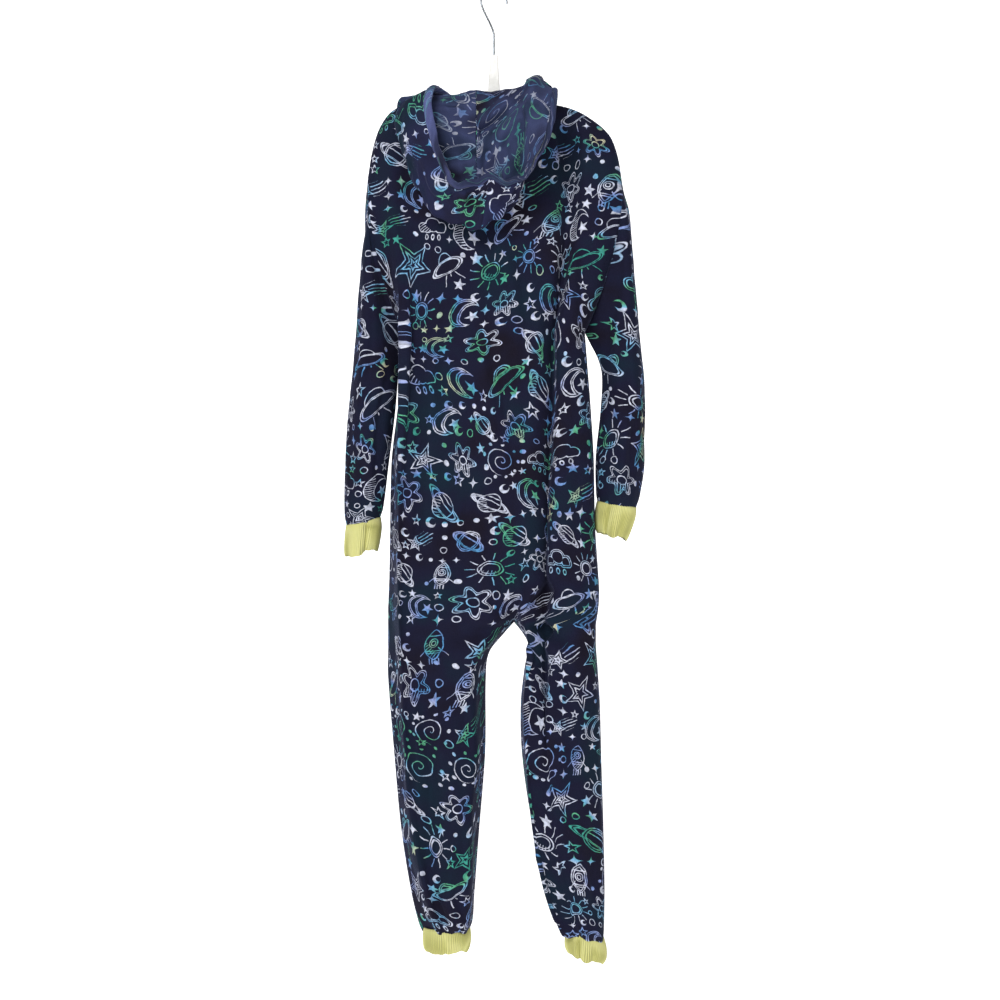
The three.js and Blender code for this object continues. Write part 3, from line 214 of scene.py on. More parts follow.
def yoke_point(top, low, side, side_top, side_low, share, fall, reach):
    """A point between the top edge and the armpit section, held to the armhole at its side."""
    drop = math.sqrt(max(1 - (1 - fall) ** 2, 0))
    pull = max(1 - share / reach, 0) ** 2
    return (
        mix(top[0], low[0], fall) + (1 - share) * (side[0] - mix(side_top[0], side_low[0], fall)),
        mix(top[1], low[1], drop) + pull * (side[1] - mix(side_top[1], side_low[1], drop)),
        mix(top[2], low[2], fall) + (1 - share) * (side[2] - mix(side_top[2], side_low[2], fall)),
    )


# Soft folds: a line from the top to the foot, the width, the height outwards, with a negative height for
# a trough, and the lean, by which one flank is longer than the other
fold_names = "x0 z0 x1 z1 width height lean"
back_folds = columns(fold_names, [
    (-98, -185, -116, -330, 12, 8, 0.6),
    (-114, -320, -134, -515, 11, 9, 0.6),
    (-80, -320, -88, -530, 9, -9, 0.2),
    (122, -235, 134, -505, 9, 8, -0.5),
    (114, -350, 119, -905, 6, 6.5, 0.4),
    (134, -345, 133, -780, 9, -9, -0.2),
    (66, -330, 74, -640, 14, 7.5, 0.5),
    (22, -400, 4, -730, 16, -8, -0.4),
    (-36, -360, -48, -640, 11, 8, 0.5),
    (96, -540, 100, -880, 11, -7.5, 0.3),
    (42, -670, 56, -940, 13, 8, -0.4),
    (-16, -560, -30, -800, 10, 6, 0.4),
    (-118, -560, -122, -870, 12, 6, 0.2),
    (-6, -790, -27, -935, 9, -5.5, 0.3),
    (16, -820, -14, -938, 8, 5.5, -0.2),
    (-52, -830, -38, -938, 8, 5, 0.2),
    (46, -870, -4, -950, 8, -5.5, 0.2),
    (70, -920, 10, -966, 8, 5, 0),
    (88, -980, 70, -1240, 12, -7.5, 0.4),
    (42, -1000, 47, -1210, 10, 7, -0.4),
    (104, -1090, 90, -1345, 9, 7.5, 0.3),
    (62, -1250, 62, -1408, 8, -8, 0),
    (-106, -975, -112, -1190, 10, 7.5, -0.4),
    (-58, -1000, -72, -1170, 9, -6, 0.3),
    (-128, -1100, -138, -1380, 10, -7.5, -0.4),
    (-94, -1190, -120, -1402, 9, 8, 0.4),
    (-143, -1240, -147, -1405, 7, 6, 0.2),
    (122, -1000, 114, -1270, 7, -7, 0),
    (28, -1110, 37, -1345, 8, -5.5, 0.3),
    (52, -1330, 48, -1410, 6, 6, 0),
    (84, -1340, 76, -1410, 6, 5.5, 0),
    (-10, -225, -30, -420, 15, 4, 0.3),
    (96, -215, 84, -370, 12, -4.5, 0.2),
])


def fold_height(folds, x, z):
    """The sum of the soft ridges and troughs at each place, uneven along their length."""
    total = np.zeros_like(x)
    rows = zip(*(folds[name] for name in fold_names.split()))
    for k, (x0, z0, x1, z1, width, height, lean) in enumerate(rows):
        run_x, run_z = x1 - x0, z1 - z0
        length = math.hypot(run_x, run_z)
        share = ((x - x0) * run_x + (z - z0) * run_z) / length**2
        aside = ((x - x0) * run_z - (z - z0) * run_x) / length
        aside = aside + 4.5 * np.sin(share * (5 + k % 3) + k * 1.7)
        inside = np.clip(share, 0, 1)
        ends = np.sin(math.pi * inside) ** 0.7 * (0.75 + 0.25 * np.sin(share * 7 + k * 2.3))
        flank = width * (1 + lean * np.tanh(aside / 4))
        total += height * ends * np.exp(-((aside / flank) ** 2))
    return total


def pucker_height(x, z):
    """The seat's puckers, which fan out from the crotch point and fade with distance."""
    distance = np.hypot(x - crotch_x, z - crotch_z)
    angle = np.arctan2(x - crotch_x, z - crotch_z)
    wave = np.cos(7 * angle) + 0.55 * np.cos(12 * angle + 1.3 + distance / 40)
    return 5 * np.exp(-(((distance - 58) / 34) ** 2)) * wave


def slack(points, scale, height):
    """Low, long unevenness of hanging cloth, from smooth noise drawn out along its length."""
    return height * np.array([
        noise.noise(Vector((x / scale, y / scale, z / (scale * 3)))) for x, y, z in points.reshape(-1, 3)
    ]).reshape(points.shape[:2])


def grid_normals(grid):
    down, across = np.gradient(grid, axis=0), np.gradient(grid, axis=1)
    normals = np.cross(across, down)
    return normals / np.maximum(np.linalg.norm(normals, axis=2, keepdims=True), 1e-9)


def seam_fade(shape, edges, reach):
    """0 on the named edges of a grid and 1 further in than the reach, in grid steps."""
    rows, across = np.indices(shape)
    fade = np.ones(shape)
    from_edge = {"top": rows, "foot": shape[0] - 1 - rows, "first": across, "last": shape[1] - 1 - across}
    for edge, place in from_edge.items():
        if edge in edges:
            share = np.clip(place / reach, 0, 1)
            fade *= share * share * (3 - 2 * share)
    return fade


def flat_map(grid, middle, start=None, corner=(0.0, 0.0)):
    """Real lengths over the cloth, in metres: level with the floor from the middle column, and down
    each column from its start."""
    steps, drops = np.diff(grid, axis=1), np.diff(grid, axis=0)
    across = np.pad(np.cumsum(np.hypot(steps[..., 0], steps[..., 1]), axis=1), ((0, 0), (1, 0)))
    down = np.pad(np.cumsum(np.hypot(drops[..., 1], drops[..., 2]), axis=0), ((1, 0), (0, 0)))
    start = grid[0, :, 2] if start is None else start
    flat = np.stack([across - across[:, middle:middle + 1], start - down], axis=2) / 1000
    return flat + np.array(corner)


def placed(name, data):
    """A new object in the scene, at the origin."""
    made = bpy.data.objects.new(name, data)
    bpy.context.scene.collection.objects.link(made)
    return made


def select_only(made=None):
    """Deselects everything, then selects the given object and makes it the active one."""
    for other in bpy.context.selected_objects:
        other.select_set(False)
    if made:
        bpy.context.view_layer.objects.active = made
        made.select_set(True)


cloth_wall = 0.0018


def panel(name, grids, thickness=cloth_wall, turned=False):
    """A cloth shell from grids of points in millimetres and their flat maps, its inside parallel."""
    vertices, faces, corners = [], [], []
    for grid, flat in grids:
        first = len(vertices)
        rows, across = grid.shape[:2]
        vertices += (grid.reshape(-1, 3) / 1000).tolist()
        uv = flat.reshape(-1, 2)
        for r in range(rows - 1):
            for c in range(across - 1):
                quad = [r * across + c, r * across + c + 1, (r + 1) * across + c + 1, (r + 1) * across + c]
                if turned:
                    quad.reverse()
                faces.append([first + k for k in quad])
                corners += [tuple(uv[k]) for k in quad]
    mesh = bpy.data.meshes.new(name)
    mesh.from_pydata(vertices, [], faces)
    layer = mesh.uv_layers.new(name="cloth")
    layer.data.foreach_set("uv", np.array(corners, dtype=np.float32).ravel())
    made = placed(name, mesh)
    select_only(made)
    bpy.ops.object.mode_set(mode="EDIT")
    bpy.ops.mesh.select_all(action="SELECT")
    bpy.ops.mesh.remove_doubles(threshold=0.00004)
    bpy.ops.object.mode_set(mode="OBJECT")
    wall = made.modifiers.new("wall", "SOLIDIFY")
    wall.thickness = thickness
    wall.offset = -1
    bpy.ops.object.modifier_apply(modifier=wall.name)
    bpy.ops.object.shade_smooth()
    made.select_set(False)
    return made


def colour(code):
    """A colour's linear red, green, blue and alpha from its sRGB hex code."""
    parts = [int(code[k:k + 2], 16) / 255 for k in (1, 3, 5)]
    return [p / 12.92 if p <= 0.04045 else ((p + 0.055) / 1.055) ** 2.4 for p in parts] + [1.0]


def feed(tree, node, inputs):
    """Gives each named input of a node its value or its link."""
    for key, value in inputs.items():
        if isinstance(value, bpy.types.NodeSocket):
            tree.links.new(value, node.inputs[key])
        else:
            node.inputs[key].default_value = value


def add(tree, kind, inputs=None, **settings):
    """Adds a node with its settings and its inputs."""
    node = tree.nodes.new(kind)
    for key, value in settings.items():
        setattr(node, key, value)
    feed(tree, node, inputs or {})
    return node


def new_material(name):
    """A new material, its node tree and its shader."""
    made = bpy.data.materials.new(name)
    made.use_nodes = True
    return made, made.node_tree, made.node_tree.nodes["Principled BSDF"]


def calc(tree, operation, *values):
    return add(tree, "ShaderNodeMath", dict(enumerate(values)), operation=operation).outputs[0]


def ramp(tree, factor, stops, interpolation="LINEAR"):
    made = add(tree, "ShaderNodeValToRGB", {0: factor})
    made.color_ramp.interpolation = interpolation
    while len(made.color_ramp.elements) < len(stops):
        made.color_ramp.elements.new(0.5)
    for element, (place, code) in zip(made.color_ramp.elements, stops):
        element.position = place
        element.color = colour(code) if isinstance(code, str) else (code, code, code, 1)
    return made.outputs[0]


# The print is hand-drawn in chalky lines on the navy ground: planets, moons, stars, comets, rockets,
# clouds, spirals, suns, saucers and petalled bursts, one to a cell of staggered rows that wander, with
# small stars, rings and dots wherever a motif leaves room. Every line is a distance worked out in the
# cell, so it keeps its width of about 1.2 mm on the cloth.
def doodle_group():
    tree = bpy.data.node_groups.new("space doodles", "ShaderNodeTree")
    tree.interface.new_socket("Place", in_out="INPUT", socket_type="NodeSocketVector")
    tree.interface.new_socket("Ink", in_out="OUTPUT", socket_type="NodeSocketFloat")
    tree.interface.new_socket("Tint", in_out="OUTPUT", socket_type="NodeSocketColor")
    place = tree.nodes.new("NodeGroupInput").outputs[0]

    def m(operation, *values):
        return calc(tree, operation, *values)

    def plus(a, b):
        return m("ADD", a, b)

    def fused(a, b, c):
        """The product of the first two, plus the third."""
        return m("MULTIPLY_ADD", a, b, c)

    def sub(a, b):
        return m("SUBTRACT", a, b)

    def times(a, b):
        return m("MULTIPLY", a, b)

    def least(*values):
        found = values[0]
        for value in values[1:]:
            found = m("MINIMUM", found, value)
        return found

    def most(*values):
        found = values[0]
        for value in values[1:]:
            found = m("MAXIMUM", found, value)
        return found

    def size(x, y):
        return m("SQRT", fused(x, x, times(y, y)))

    def circle(x, y, cx, cy, radius):
        return sub(size(sub(x, cx), sub(y, cy)), radius)

    def outline(distance):
        return m("ABSOLUTE", distance)

    def from_line(value):
        """How far a repeating value is from the middle of its step."""
        return outline(sub(m("FRACT", value), 0.5))

    def star(x, y, radius):
        """The distance to a five-pointed star, folded into one tenth of a turn."""
        turn = fused(m("ARCTAN2", x, y), 5 / math.tau, 0.5)
        folded = times(from_line(turn), math.tau / 5)
        reach = size(x, y)
        px, py = times(reach, m("SINE", folded)), times(reach, m("COSINE", folded))
        inner = (0.42 * radius * math.sin(math.pi / 5), 0.42 * radius * math.cos(math.pi / 5))
        run = (inner[0], inner[1] - radius)
        length = math.hypot(*run)
        return plus(times(px, -run[1] / length), times(sub(py, radius), run[0] / length))

    def moved(scale, reach, start):
        """A place shifted by smooth noise, as the hand strays."""
        stray = add(tree, "ShaderNodeTexNoise", {"Vector": place, "Scale": scale, "Detail": 1.0})
        centred = add(
            tree, "ShaderNodeVectorMath", {0: stray.outputs["Color"], 1: (0.5, 0.5, 0.5)},
            operation="SUBTRACT")
        inputs = {0: centred.outputs[0], 1: (reach, reach, reach), 2: start}
        return add(tree, "ShaderNodeVectorMath", inputs, operation="MULTIPLY_ADD").outputs[0]

    def cell_at(across, down):
        """The staggered cell round a place: its dice, and the place seen from its motif's middle."""
        row = m("FLOOR", down)
        stagger = plus(across, times(m("FLOORED_MODULO", row, 2.0), 0.5))
        identity = add(tree, "ShaderNodeCombineXYZ", {0: m("FLOOR", stagger), 1: row, 2: 3.0})
        dice = add(tree, "ShaderNodeTexWhiteNoise", {"Vector": identity.outputs[0]}, noise_dimensions="3D")
        chance = add(tree, "ShaderNodeSeparateXYZ", {0: dice.outputs["Color"]}).outputs
        x = sub(m("FRACT", stagger), fused(chance[2], 0.14, 0.43))
        y = times(sub(m("FRACT", down), fused(chance[0], 0.14, 0.43)), 0.92)
        return dice.outputs["Value"], chance, x, y, fused(chance[1], 0.55, 1.9)

    # The rows' slow wander and the line's quick wobble, then the staggered cells
    split = add(tree, "ShaderNodeSeparateXYZ", {0: moved(60.0, 0.0045, moved(6.0, 0.08, place))}).outputs
    cell = 0.062
    across, down = times(split[0], 1 / cell), times(split[1], 1 / (cell * 0.92))
    die, chance, x0, y0, grow = cell_at(across, down)
    turn = times(sub(chance[0], 0.5), 1.7)
    cosine, sine = m("COSINE", turn), m("SINE", turn)
    x = times(grow, plus(times(x0, cosine), times(y0, sine)))
    y = times(grow, sub(times(y0, cosine), times(x0, sine)))
    reach = size(x, y)
    angle = m("ARCTAN2", y, x)
    fold_x = m("ABSOLUTE", x)
    u, v = times(plus(x, y), 0.7071), times(sub(y, x), 0.7071)

    disc = sub(reach, 0.54)
    ellipse = size(x, times(y, 3.4))
    ring = times(least(outline(sub(ellipse, 0.98)), outline(sub(ellipse, 0.82))), 0.42)
    hidden = times(m("MULTIPLY", m("LESS_THAN", reach, 0.54), m("GREATER_THAN", y, 0.0)), 5)
    bands = most(times(from_line(times(y, 4.5)), 0.22), sub(reach, 0.46), sub(0.1, y))
    planet = least(outline(disc), plus(ring, hidden), bands)
    crescent = most(sub(reach, 0.76), times(circle(x, y, 0.38, 0.14, 0.6), -1))
    moon = least(outline(crescent), most(star(sub(x, 0.44), sub(y, 0.1), 0.3), 0.0))
    big = star(x, y, 0.92)
    star_drawn = least(outline(big), outline(plus(big, 0.15)))
    head = star(plus(x, 0.38), plus(y, 0.38), 0.5)
    tail = times(from_line(fused(v, 5.0, 0.5)), 0.2)
    tail = most(tail, sub(outline(v), 0.36), sub(-0.1, u), sub(u, fused(outline(v), -1.1, 0.92)))
    comet = least(tail, outline(head), outline(plus(head, 0.12)))
    hull = sub(size(plus(fold_x, 0.5), y), 0.92)
    fin = most(
        outline(plus(sub(fold_x, 0.66), times(plus(y, 0.62), 0.9))),
        sub(0.24, fold_x), sub(fold_x, 0.62))
    flame = most(times(from_line(times(x, 7.0)), 0.14), sub(fold_x, 0.22), sub(-0.98, y), plus(y, 0.7))
    belts = most(least(outline(plus(y, 0.3)), outline(sub(y, 0.46)), outline(plus(y, 0.42))), hull)
    window = least(outline(circle(x, y, 0, 0.12, 0.2)), outline(circle(x, y, 0, 0.12, 0.1)))
    rocket = least(outline(hull), window, fin, flame, belts)
    puffs = least(
        circle(x, y, -0.46, 0.02, 0.34), circle(x, y, 0.02, 0.26, 0.44), circle(x, y, 0.5, 0.04, 0.34))
    puffs = most(puffs, sub(-0.22, y))
    drops = size(sub(m("FRACT", fused(x, 2.6, 0.5)), 0.5), times(plus(y, 0.5), 1.5))
    drops = most(times(outline(sub(drops, 0.22)), 0.38), sub(fold_x, 0.56))
    cloud = least(outline(puffs), drops)
    arm = from_line(sub(times(reach, 2.7), times(angle, 1 / math.tau)))
    beads = size(sub(m("FRACT", times(angle, 9 / math.tau)), 0.5), times(sub(reach, 0.92), 1.6))
    spiral = least(most(times(arm, 0.37), sub(reach, 0.76)), times(sub(beads, 0.1), 0.6))
    ray = times(reach, times(from_line(times(angle, 11 / math.tau)), 0.57))
    core = sub(reach, 0.42)
    sun = least(outline(core), outline(sub(reach, 0.3)), most(ray, sub(0.54, reach), sub(reach, 0.9)))
    rim = times(least(
        outline(sub(size(x, times(y, 3.0)), 0.95)), outline(sub(size(x, times(y, 3.0)), 0.78))), 0.5)
    dome = most(circle(x, y, 0, 0.2, 0.44), sub(0.26, y))
    beam = outline(sub(fused(y, -0.55, 0.06), fold_x))
    beam = most(least(beam, most(fold_x, sub(-0.5, y))), sub(-0.84, y), plus(y, 0.4))
    saucer = least(rim, outline(dome), beam)
    petals = sub(reach, fused(m("COSINE", times(angle, 6.0)), 0.16, 0.6))
    burst = least(outline(petals), outline(plus(petals, 0.13)), outline(sub(reach, 0.2)))

    # One motif to a cell, with a second line inside the first or a hatched lower left
    kind = m("FLOOR", times(die, 9.999))
    drawn, body = None, None
    motifs = (
        (planet, disc), (moon, crescent), (star_drawn, plus(big, 0.15)), (comet, head), (rocket, hull),
        (cloud, puffs), (spiral, 1.0), (sun, core), (saucer, dome), (burst, petals),
    )
    for k, (lines, inside) in enumerate(motifs):
        picked = m("COMPARE", kind, float(k), 0.5)
        drawn = times(lines, picked) if drawn is None else fused(lines, picked, drawn)
        body = times(inside, picked) if body is None else fused(inside, picked, body)
    hatching = plus(times(from_line(times(v, 8.0)), 0.125), 0.008)
    single = m("GREATER_THAN", chance[2], 0.5)
    hatched = most(hatching, plus(body, 0.05), plus(u, 0.15), times(single, 5))
    doubled = plus(outline(plus(body, 0.1)), times(sub(1.0, single), 5))
    main = m("DIVIDE", least(drawn, hatched, doubled), grow)

    # Small filler in a finer set of cells, only where it stays clear of the motifs
    spot_x, spot_y = times(across, 3.0), times(down, 2.75)
    spot_row, spot_column = m("FLOOR", spot_y), m("FLOOR", spot_x)
    spot = add(tree, "ShaderNodeCombineXYZ", {0: spot_column, 1: spot_row, 2: 8.0})
    luck = add(tree, "ShaderNodeTexWhiteNoise", {"Vector": spot.outputs[0]}, noise_dimensions="3D")
    odds = add(tree, "ShaderNodeSeparateXYZ", {0: luck.outputs["Color"]}).outputs
    middle_x = plus(spot_column, fused(odds[0], 0.24, 0.38))
    middle_y = plus(spot_row, fused(odds[1], 0.24, 0.38))
    near = cell_at(times(middle_x, 1 / 3), times(middle_y, 1 / 2.75))
    free = m("GREATER_THAN", times(size(near[2], near[3]), near[4]), 0.88)
    finer = fused(odds[2], 1.3, 2.3)
    fx, fy = times(sub(spot_x, middle_x), finer), times(sub(spot_y, middle_y), finer)
    small_star = most(star(fx, fy, 0.95), 0.0)
    open_star = outline(star(fx, fy, 0.95))
    glint = most(sub(plus(m("SQRT", m("ABSOLUTE", fx)), m("SQRT", m("ABSOLUTE", fy))), 0.98), 0.0)
    small_ring = outline(sub(size(fx, fy), 0.66))
    dot = most(sub(size(fx, fy), 0.42), 0.0)
    sickle = most(sub(size(fx, fy), 0.8), times(circle(fx, fy, 0.34, 0.16, 0.66), -1), 0.0)
    small_kind = m("FLOOR", times(luck.outputs["Value"], 6.499))
    small = None
    for k, shape in enumerate((small_star, open_star, glint, small_ring, dot, sickle, 5.0)):
        picked = m("COMPARE", small_kind, float(k), 0.5)
        small = times(shape, picked) if small is None else fused(shape, picked, small)
    filler = plus(m("DIVIDE", small, times(finer, 3.0)), times(sub(1.0, free), 5))

    # Chalk: the line's edge is broken by the nap, and its cover is uneven
    chalk = add(tree, "ShaderNodeTexNoise", {"Vector": place, "Scale": 900.0, "Detail": 2.0})
    smear = add(tree, "ShaderNodeTexNoise", {"Vector": place, "Scale": 150.0, "Detail": 2.0})
    width = fused(sub(smear.outputs[0], 0.5), 0.012, 0.0092)
    gap = sub(least(main, filler), width)
    gap = plus(gap, times(sub(chalk.outputs[0], 0.5), 0.012))
    fade = {0: gap, 1: -0.003, 2: 0.005, 3: 1.0, 4: 0.0}
    line = add(tree, "ShaderNodeMapRange", fade, interpolation_type="SMOOTHSTEP")
    cover = add(tree, "ShaderNodeMapRange", {0: smear.outputs[0], 1: 0.3, 2: 0.62, 3: 0.42, 4: 0.95})
    ink = times(line.outputs[0], cover.outputs[0])

    drift = add(tree, "ShaderNodeTexNoise", {"Vector": place, "Scale": 11.0, "Detail": 1.0})
    hue = plus(drift.outputs[0], times(sub(chance[1], 0.5), 0.14))
    tint = ramp(tree, hue, [
        (0.3, "#3f9a8b"), (0.37, "#5eac82"), (0.42, "#73aed6"), (0.47, "#c6cce0"), (0.55, "#ced2e2"),
        (0.59, "#8c9bd0"), (0.64, "#568ec6"), (0.69, "#4ca294"), (0.76, "#d8d3b4"),
    ])
    tree.links.new(ink, tree.nodes.new("NodeGroupOutput").inputs[0])
    tree.links.new(tint, tree.nodes["Group Output"].inputs[1])
    return tree


doodles = doodle_group()


def printed_fleece(name, ground, turn=0.0, shift=(0.0, 0.0), strength=1.0):
    """Brushed polyester fleece, printed on its face: matt, with a short nap that catches light at the
    edges as a soft pale sheen, and that breaks up the ink's lines."""
    made, tree, shader = new_material(name)
    uv = add(tree, "ShaderNodeUVMap", uv_map="cloth").outputs[0]
    lay = {0: uv, "Location": (*shift, 0), "Rotation": (0, 0, turn)}
    laid = add(tree, "ShaderNodeMapping", lay).outputs[0]
    doodle = add(tree, "ShaderNodeGroup", node_tree=doodles)
    tree.links.new(laid, doodle.inputs[0])
    patches = add(tree, "ShaderNodeTexNoise", {"Vector": laid, "Scale": 9.0, "Detail": 3.0})
    cloth = ramp(tree, patches.outputs[0], [(0.34, "#120e1c"), (0.5, ground), (0.66, "#0e1d2c")])
    nap = add(tree, "ShaderNodeTexNoise", {"Vector": laid, "Scale": 1100.0, "Detail": 3.0, "Roughness": 0.65})
    clump = add(tree, "ShaderNodeTexNoise", {"Vector": laid, "Scale": 260.0, "Detail": 2.0})
    shade = add(tree, "ShaderNodeMapRange", {0: nap.outputs[0], 1: 0.3, 2: 0.7, 3: 0.72, 4: 1.25})
    ink = calc(tree, "MULTIPLY", doodle.outputs[0], strength)
    inked = add(tree, "ShaderNodeMix", {0: ink, 6: cloth, 7: doodle.outputs[1]}, data_type="RGBA")
    lit = add(
        tree, "ShaderNodeVectorMath", {0: inked.outputs[2], "Scale": shade.outputs[0]}, operation="SCALE")
    fuzz = calc(tree, "MULTIPLY_ADD", clump.outputs[0], 1.6, nap.outputs[0])
    raised = add(tree, "ShaderNodeBump", {"Height": fuzz, "Strength": 0.5, "Distance": 0.0006})
    feed(tree, shader, {
        "Base Color": lit.outputs[0], "Normal": raised.outputs[0], "Roughness": 0.93,
        "Specular IOR Level": 0.15, "Sheen Weight": 0.2, "Sheen Roughness": 0.36,
        "Sheen Tint": colour("#7c84b4"),
    })
    return made


def finish_cloth(piece, node, material):
    """The piece takes its node's place and rides with the garment."""
    piece.data.materials.append(material)
    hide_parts(node)
    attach(piece, "garment")
    return piece


armpit = torso_section(armpit_z)
last_column = 26
back_places = np.linspace(0, last_column, 105)
crotch_column = 60
left_part, right_part = slice(0, crotch_column + 1), slice(crotch_column, None)
armpit_back = [(x, y, armpit_z) for x, y in section(armpit["back"], back_places)]
yoke_turns = np.linspace(0, 9, 46)
body_rows = []
for row in yoke_turns[:-1]:
    fall = (1 - math.cos(math.pi * row / 9)) / 2
    left_side, right_side = sleeve_point(left_sleeve, 0, row / 18), sleeve_point(right_sleeve, 0, row / 18)
    first, last = (top_edge(0), armpit_back[0]), (top_edge(last_column), armpit_back[-1])
    points = []
    for c, low in zip(back_places, armpit_back):
        top, share = top_edge(c), c / last_column
        from_left = yoke_point(top, low, left_side, *first, share, fall, 0.15)
        from_right = yoke_point(top, low, right_side, *last, 1 - share, fall, 0.12)
        plain = yoke_point(top, low, top, top, top, 1, fall, 1)
        points.append([from_left[k] + from_right[k] - plain[k] for k in range(3)])
    body_rows.append(points)
torso_heights = np.linspace(armpit_z, crotch_z, 82)
for z in torso_heights:
    body_rows.append([(x, y, z) for x, y in section(torso_section(z)["back"], back_places)])
body_grid = np.array(body_rows)


def leg_back(table, t, side, places):
    at = row_at(table, "t", t)
    if side > 0:
        keys = back_left_keys(at["outer_x"], at["crease"], at["inner_x"], at["back"], 1)
    else:
        keys = back_right_keys(at["inner_x"], at["groove"], at["outer_x"], at["back"], at["groove_depth"], 1)
    ring = []
    for x, y in section(keys, places):
        share = (x - at["outer_x"]) / (at["inner_x"] - at["outer_x"])
        lobe = -3 * math.cos(4 * math.pi * share) * max((t - 0.9) / 0.1, 0)
        ring.append((x, y, mix(at["outer_z"], at["inner_z"], share) + lobe))
    return ring


leg_steps = np.linspace(0, 1, 97)[1:]
left_places, right_places = back_places[left_part], back_places[right_part]
left_back_leg, right_back_leg = (
    np.array([body_grid[-1, part].tolist()] + [leg_back(table, t, side, places) for t in leg_steps])
    for part, table, side, places in (
        (left_part, left_leg, 1, left_places), (right_part, right_leg, -1, right_places)))


def folded(grid, folds, fade, outward):
    """A grid moved out along its normals by its folds, puckers and slack."""
    height = fold_height(folds, grid[..., 0], grid[..., 2]) + pucker_height(grid[..., 0], grid[..., 2])
    height = height + slack(grid, 42, 3.6) + slack(grid + 500, 17, 1.3)
    return grid + outward * grid_normals(grid) * (height * fade)[..., None]


body_flat = flat_map(body_grid, 40)
whole_left = np.concatenate([body_grid[:-1, left_part], left_back_leg])
whole_right = np.concatenate([body_grid[:-1, right_part], right_back_leg])
body_fade = seam_fade(body_grid.shape[:2], ("top", "first", "last"), 7)
left_fade = seam_fade(whole_left.shape[:2], ("top", "first", "last", "foot"), 7)[len(body_grid) - 1:]
right_fade = seam_fade(whole_right.shape[:2], ("top", "first", "last", "foot"), 7)[len(body_grid) - 1:]
crotch = np.clip(np.abs(np.arange(len(back_places)) - crotch_column) / 7, 0, 1) ** 2
near = np.clip((body_grid[:, 0, 2] - crotch_z) / 40, 0, 1)[:, None]
body_fade = body_fade * (near + (1 - near) * crotch[None, :])
left_fade[0], right_fade[0] = body_fade[-1, left_part], body_fade[-1, right_part]
folded_body = folded(body_grid, back_folds, body_fade, 1)
folded_left = folded(left_back_leg, back_folds, left_fade, 1)
folded_right = folded(right_back_leg, back_folds, right_fade, 1)
folded_left[0], folded_right[0] = folded_body[-1, left_part], folded_body[-1, right_part]
left_middle, right_middle = 28, 22
left_flat = flat_map(
    left_back_leg, left_middle, body_flat[-1, left_part, 1] * 1000, (body_flat[-1, left_middle, 0], 0))
right_flat = flat_map(
    right_back_leg, right_middle, body_flat[-1, right_part, 1] * 1000,
    (body_flat[-1, crotch_column + right_middle, 0], 0))
back = panel(
    "back_cloth", [(folded_body, body_flat), (folded_left, left_flat), (folded_right, right_flat)],
    turned=True)
navy = "#13142a"
finish_cloth(
    back, "back", printed_fleece("printed fleece, back", navy),
)


# Fronts
# Each front is cut with its front leg and closes with the zip down to the belly, below which the two
# are sewn together. The side away from the picture has the same slack cloth, finished plainly.
front_folds = columns(fold_names, [
    (118, -260, 122, -500, 12, 6, 0.4),
    (70, -300, 62, -620, 15, 5, -0.3),
    (34, -420, 26, -780, 12, -4.5, 0.3),
    (100, -560, 108, -860, 13, -5, 0.3),
    (-104, -250, -118, -500, 11, 6.5, -0.4),
    (-60, -320, -66, -700, 14, 4.5, 0.3),
    (-110, -560, -104, -880, 14, -5, -0.3),
    (20, -830, -20, -935, 9, 4.5, 0),
    (-62, -820, -40, -930, 9, 4.5, 0.2),
    (60, -900, 6, -962, 9, -5, 0),
    (90, -1010, 78, -1260, 13, 5, 0.3),
    (46, -1040, 52, -1300, 11, -4.5, -0.3),
    (-110, -1000, -122, -1240, 13, 5, 0.3),
    (-76, -1050, -96, -1290, 11, -4.5, 0.2),
    (-132, -1220, -138, -1390, 9, 4.5, 0),
])


def front_neck(side, side_x, share):
    angle = share * math.pi / 2
    return (
        mix(side_x, side * 5, max(math.sin(angle), 0) ** 1.15),
        -42 * max(math.sin(angle), 0) ** 0.9,
        -173 - 52 * (1 - math.cos(angle)),
    )


def front_top(side, c):
    """The shoulder seam and the front neckline of one side, by front column."""
    if side > 0:
        return top_edge(c) if c <= 4 else front_neck(1, 104, (c - 4) / 6)
    return top_edge(26 - c) if c <= 8 else front_neck(-1, -80, (c - 8) / 4)


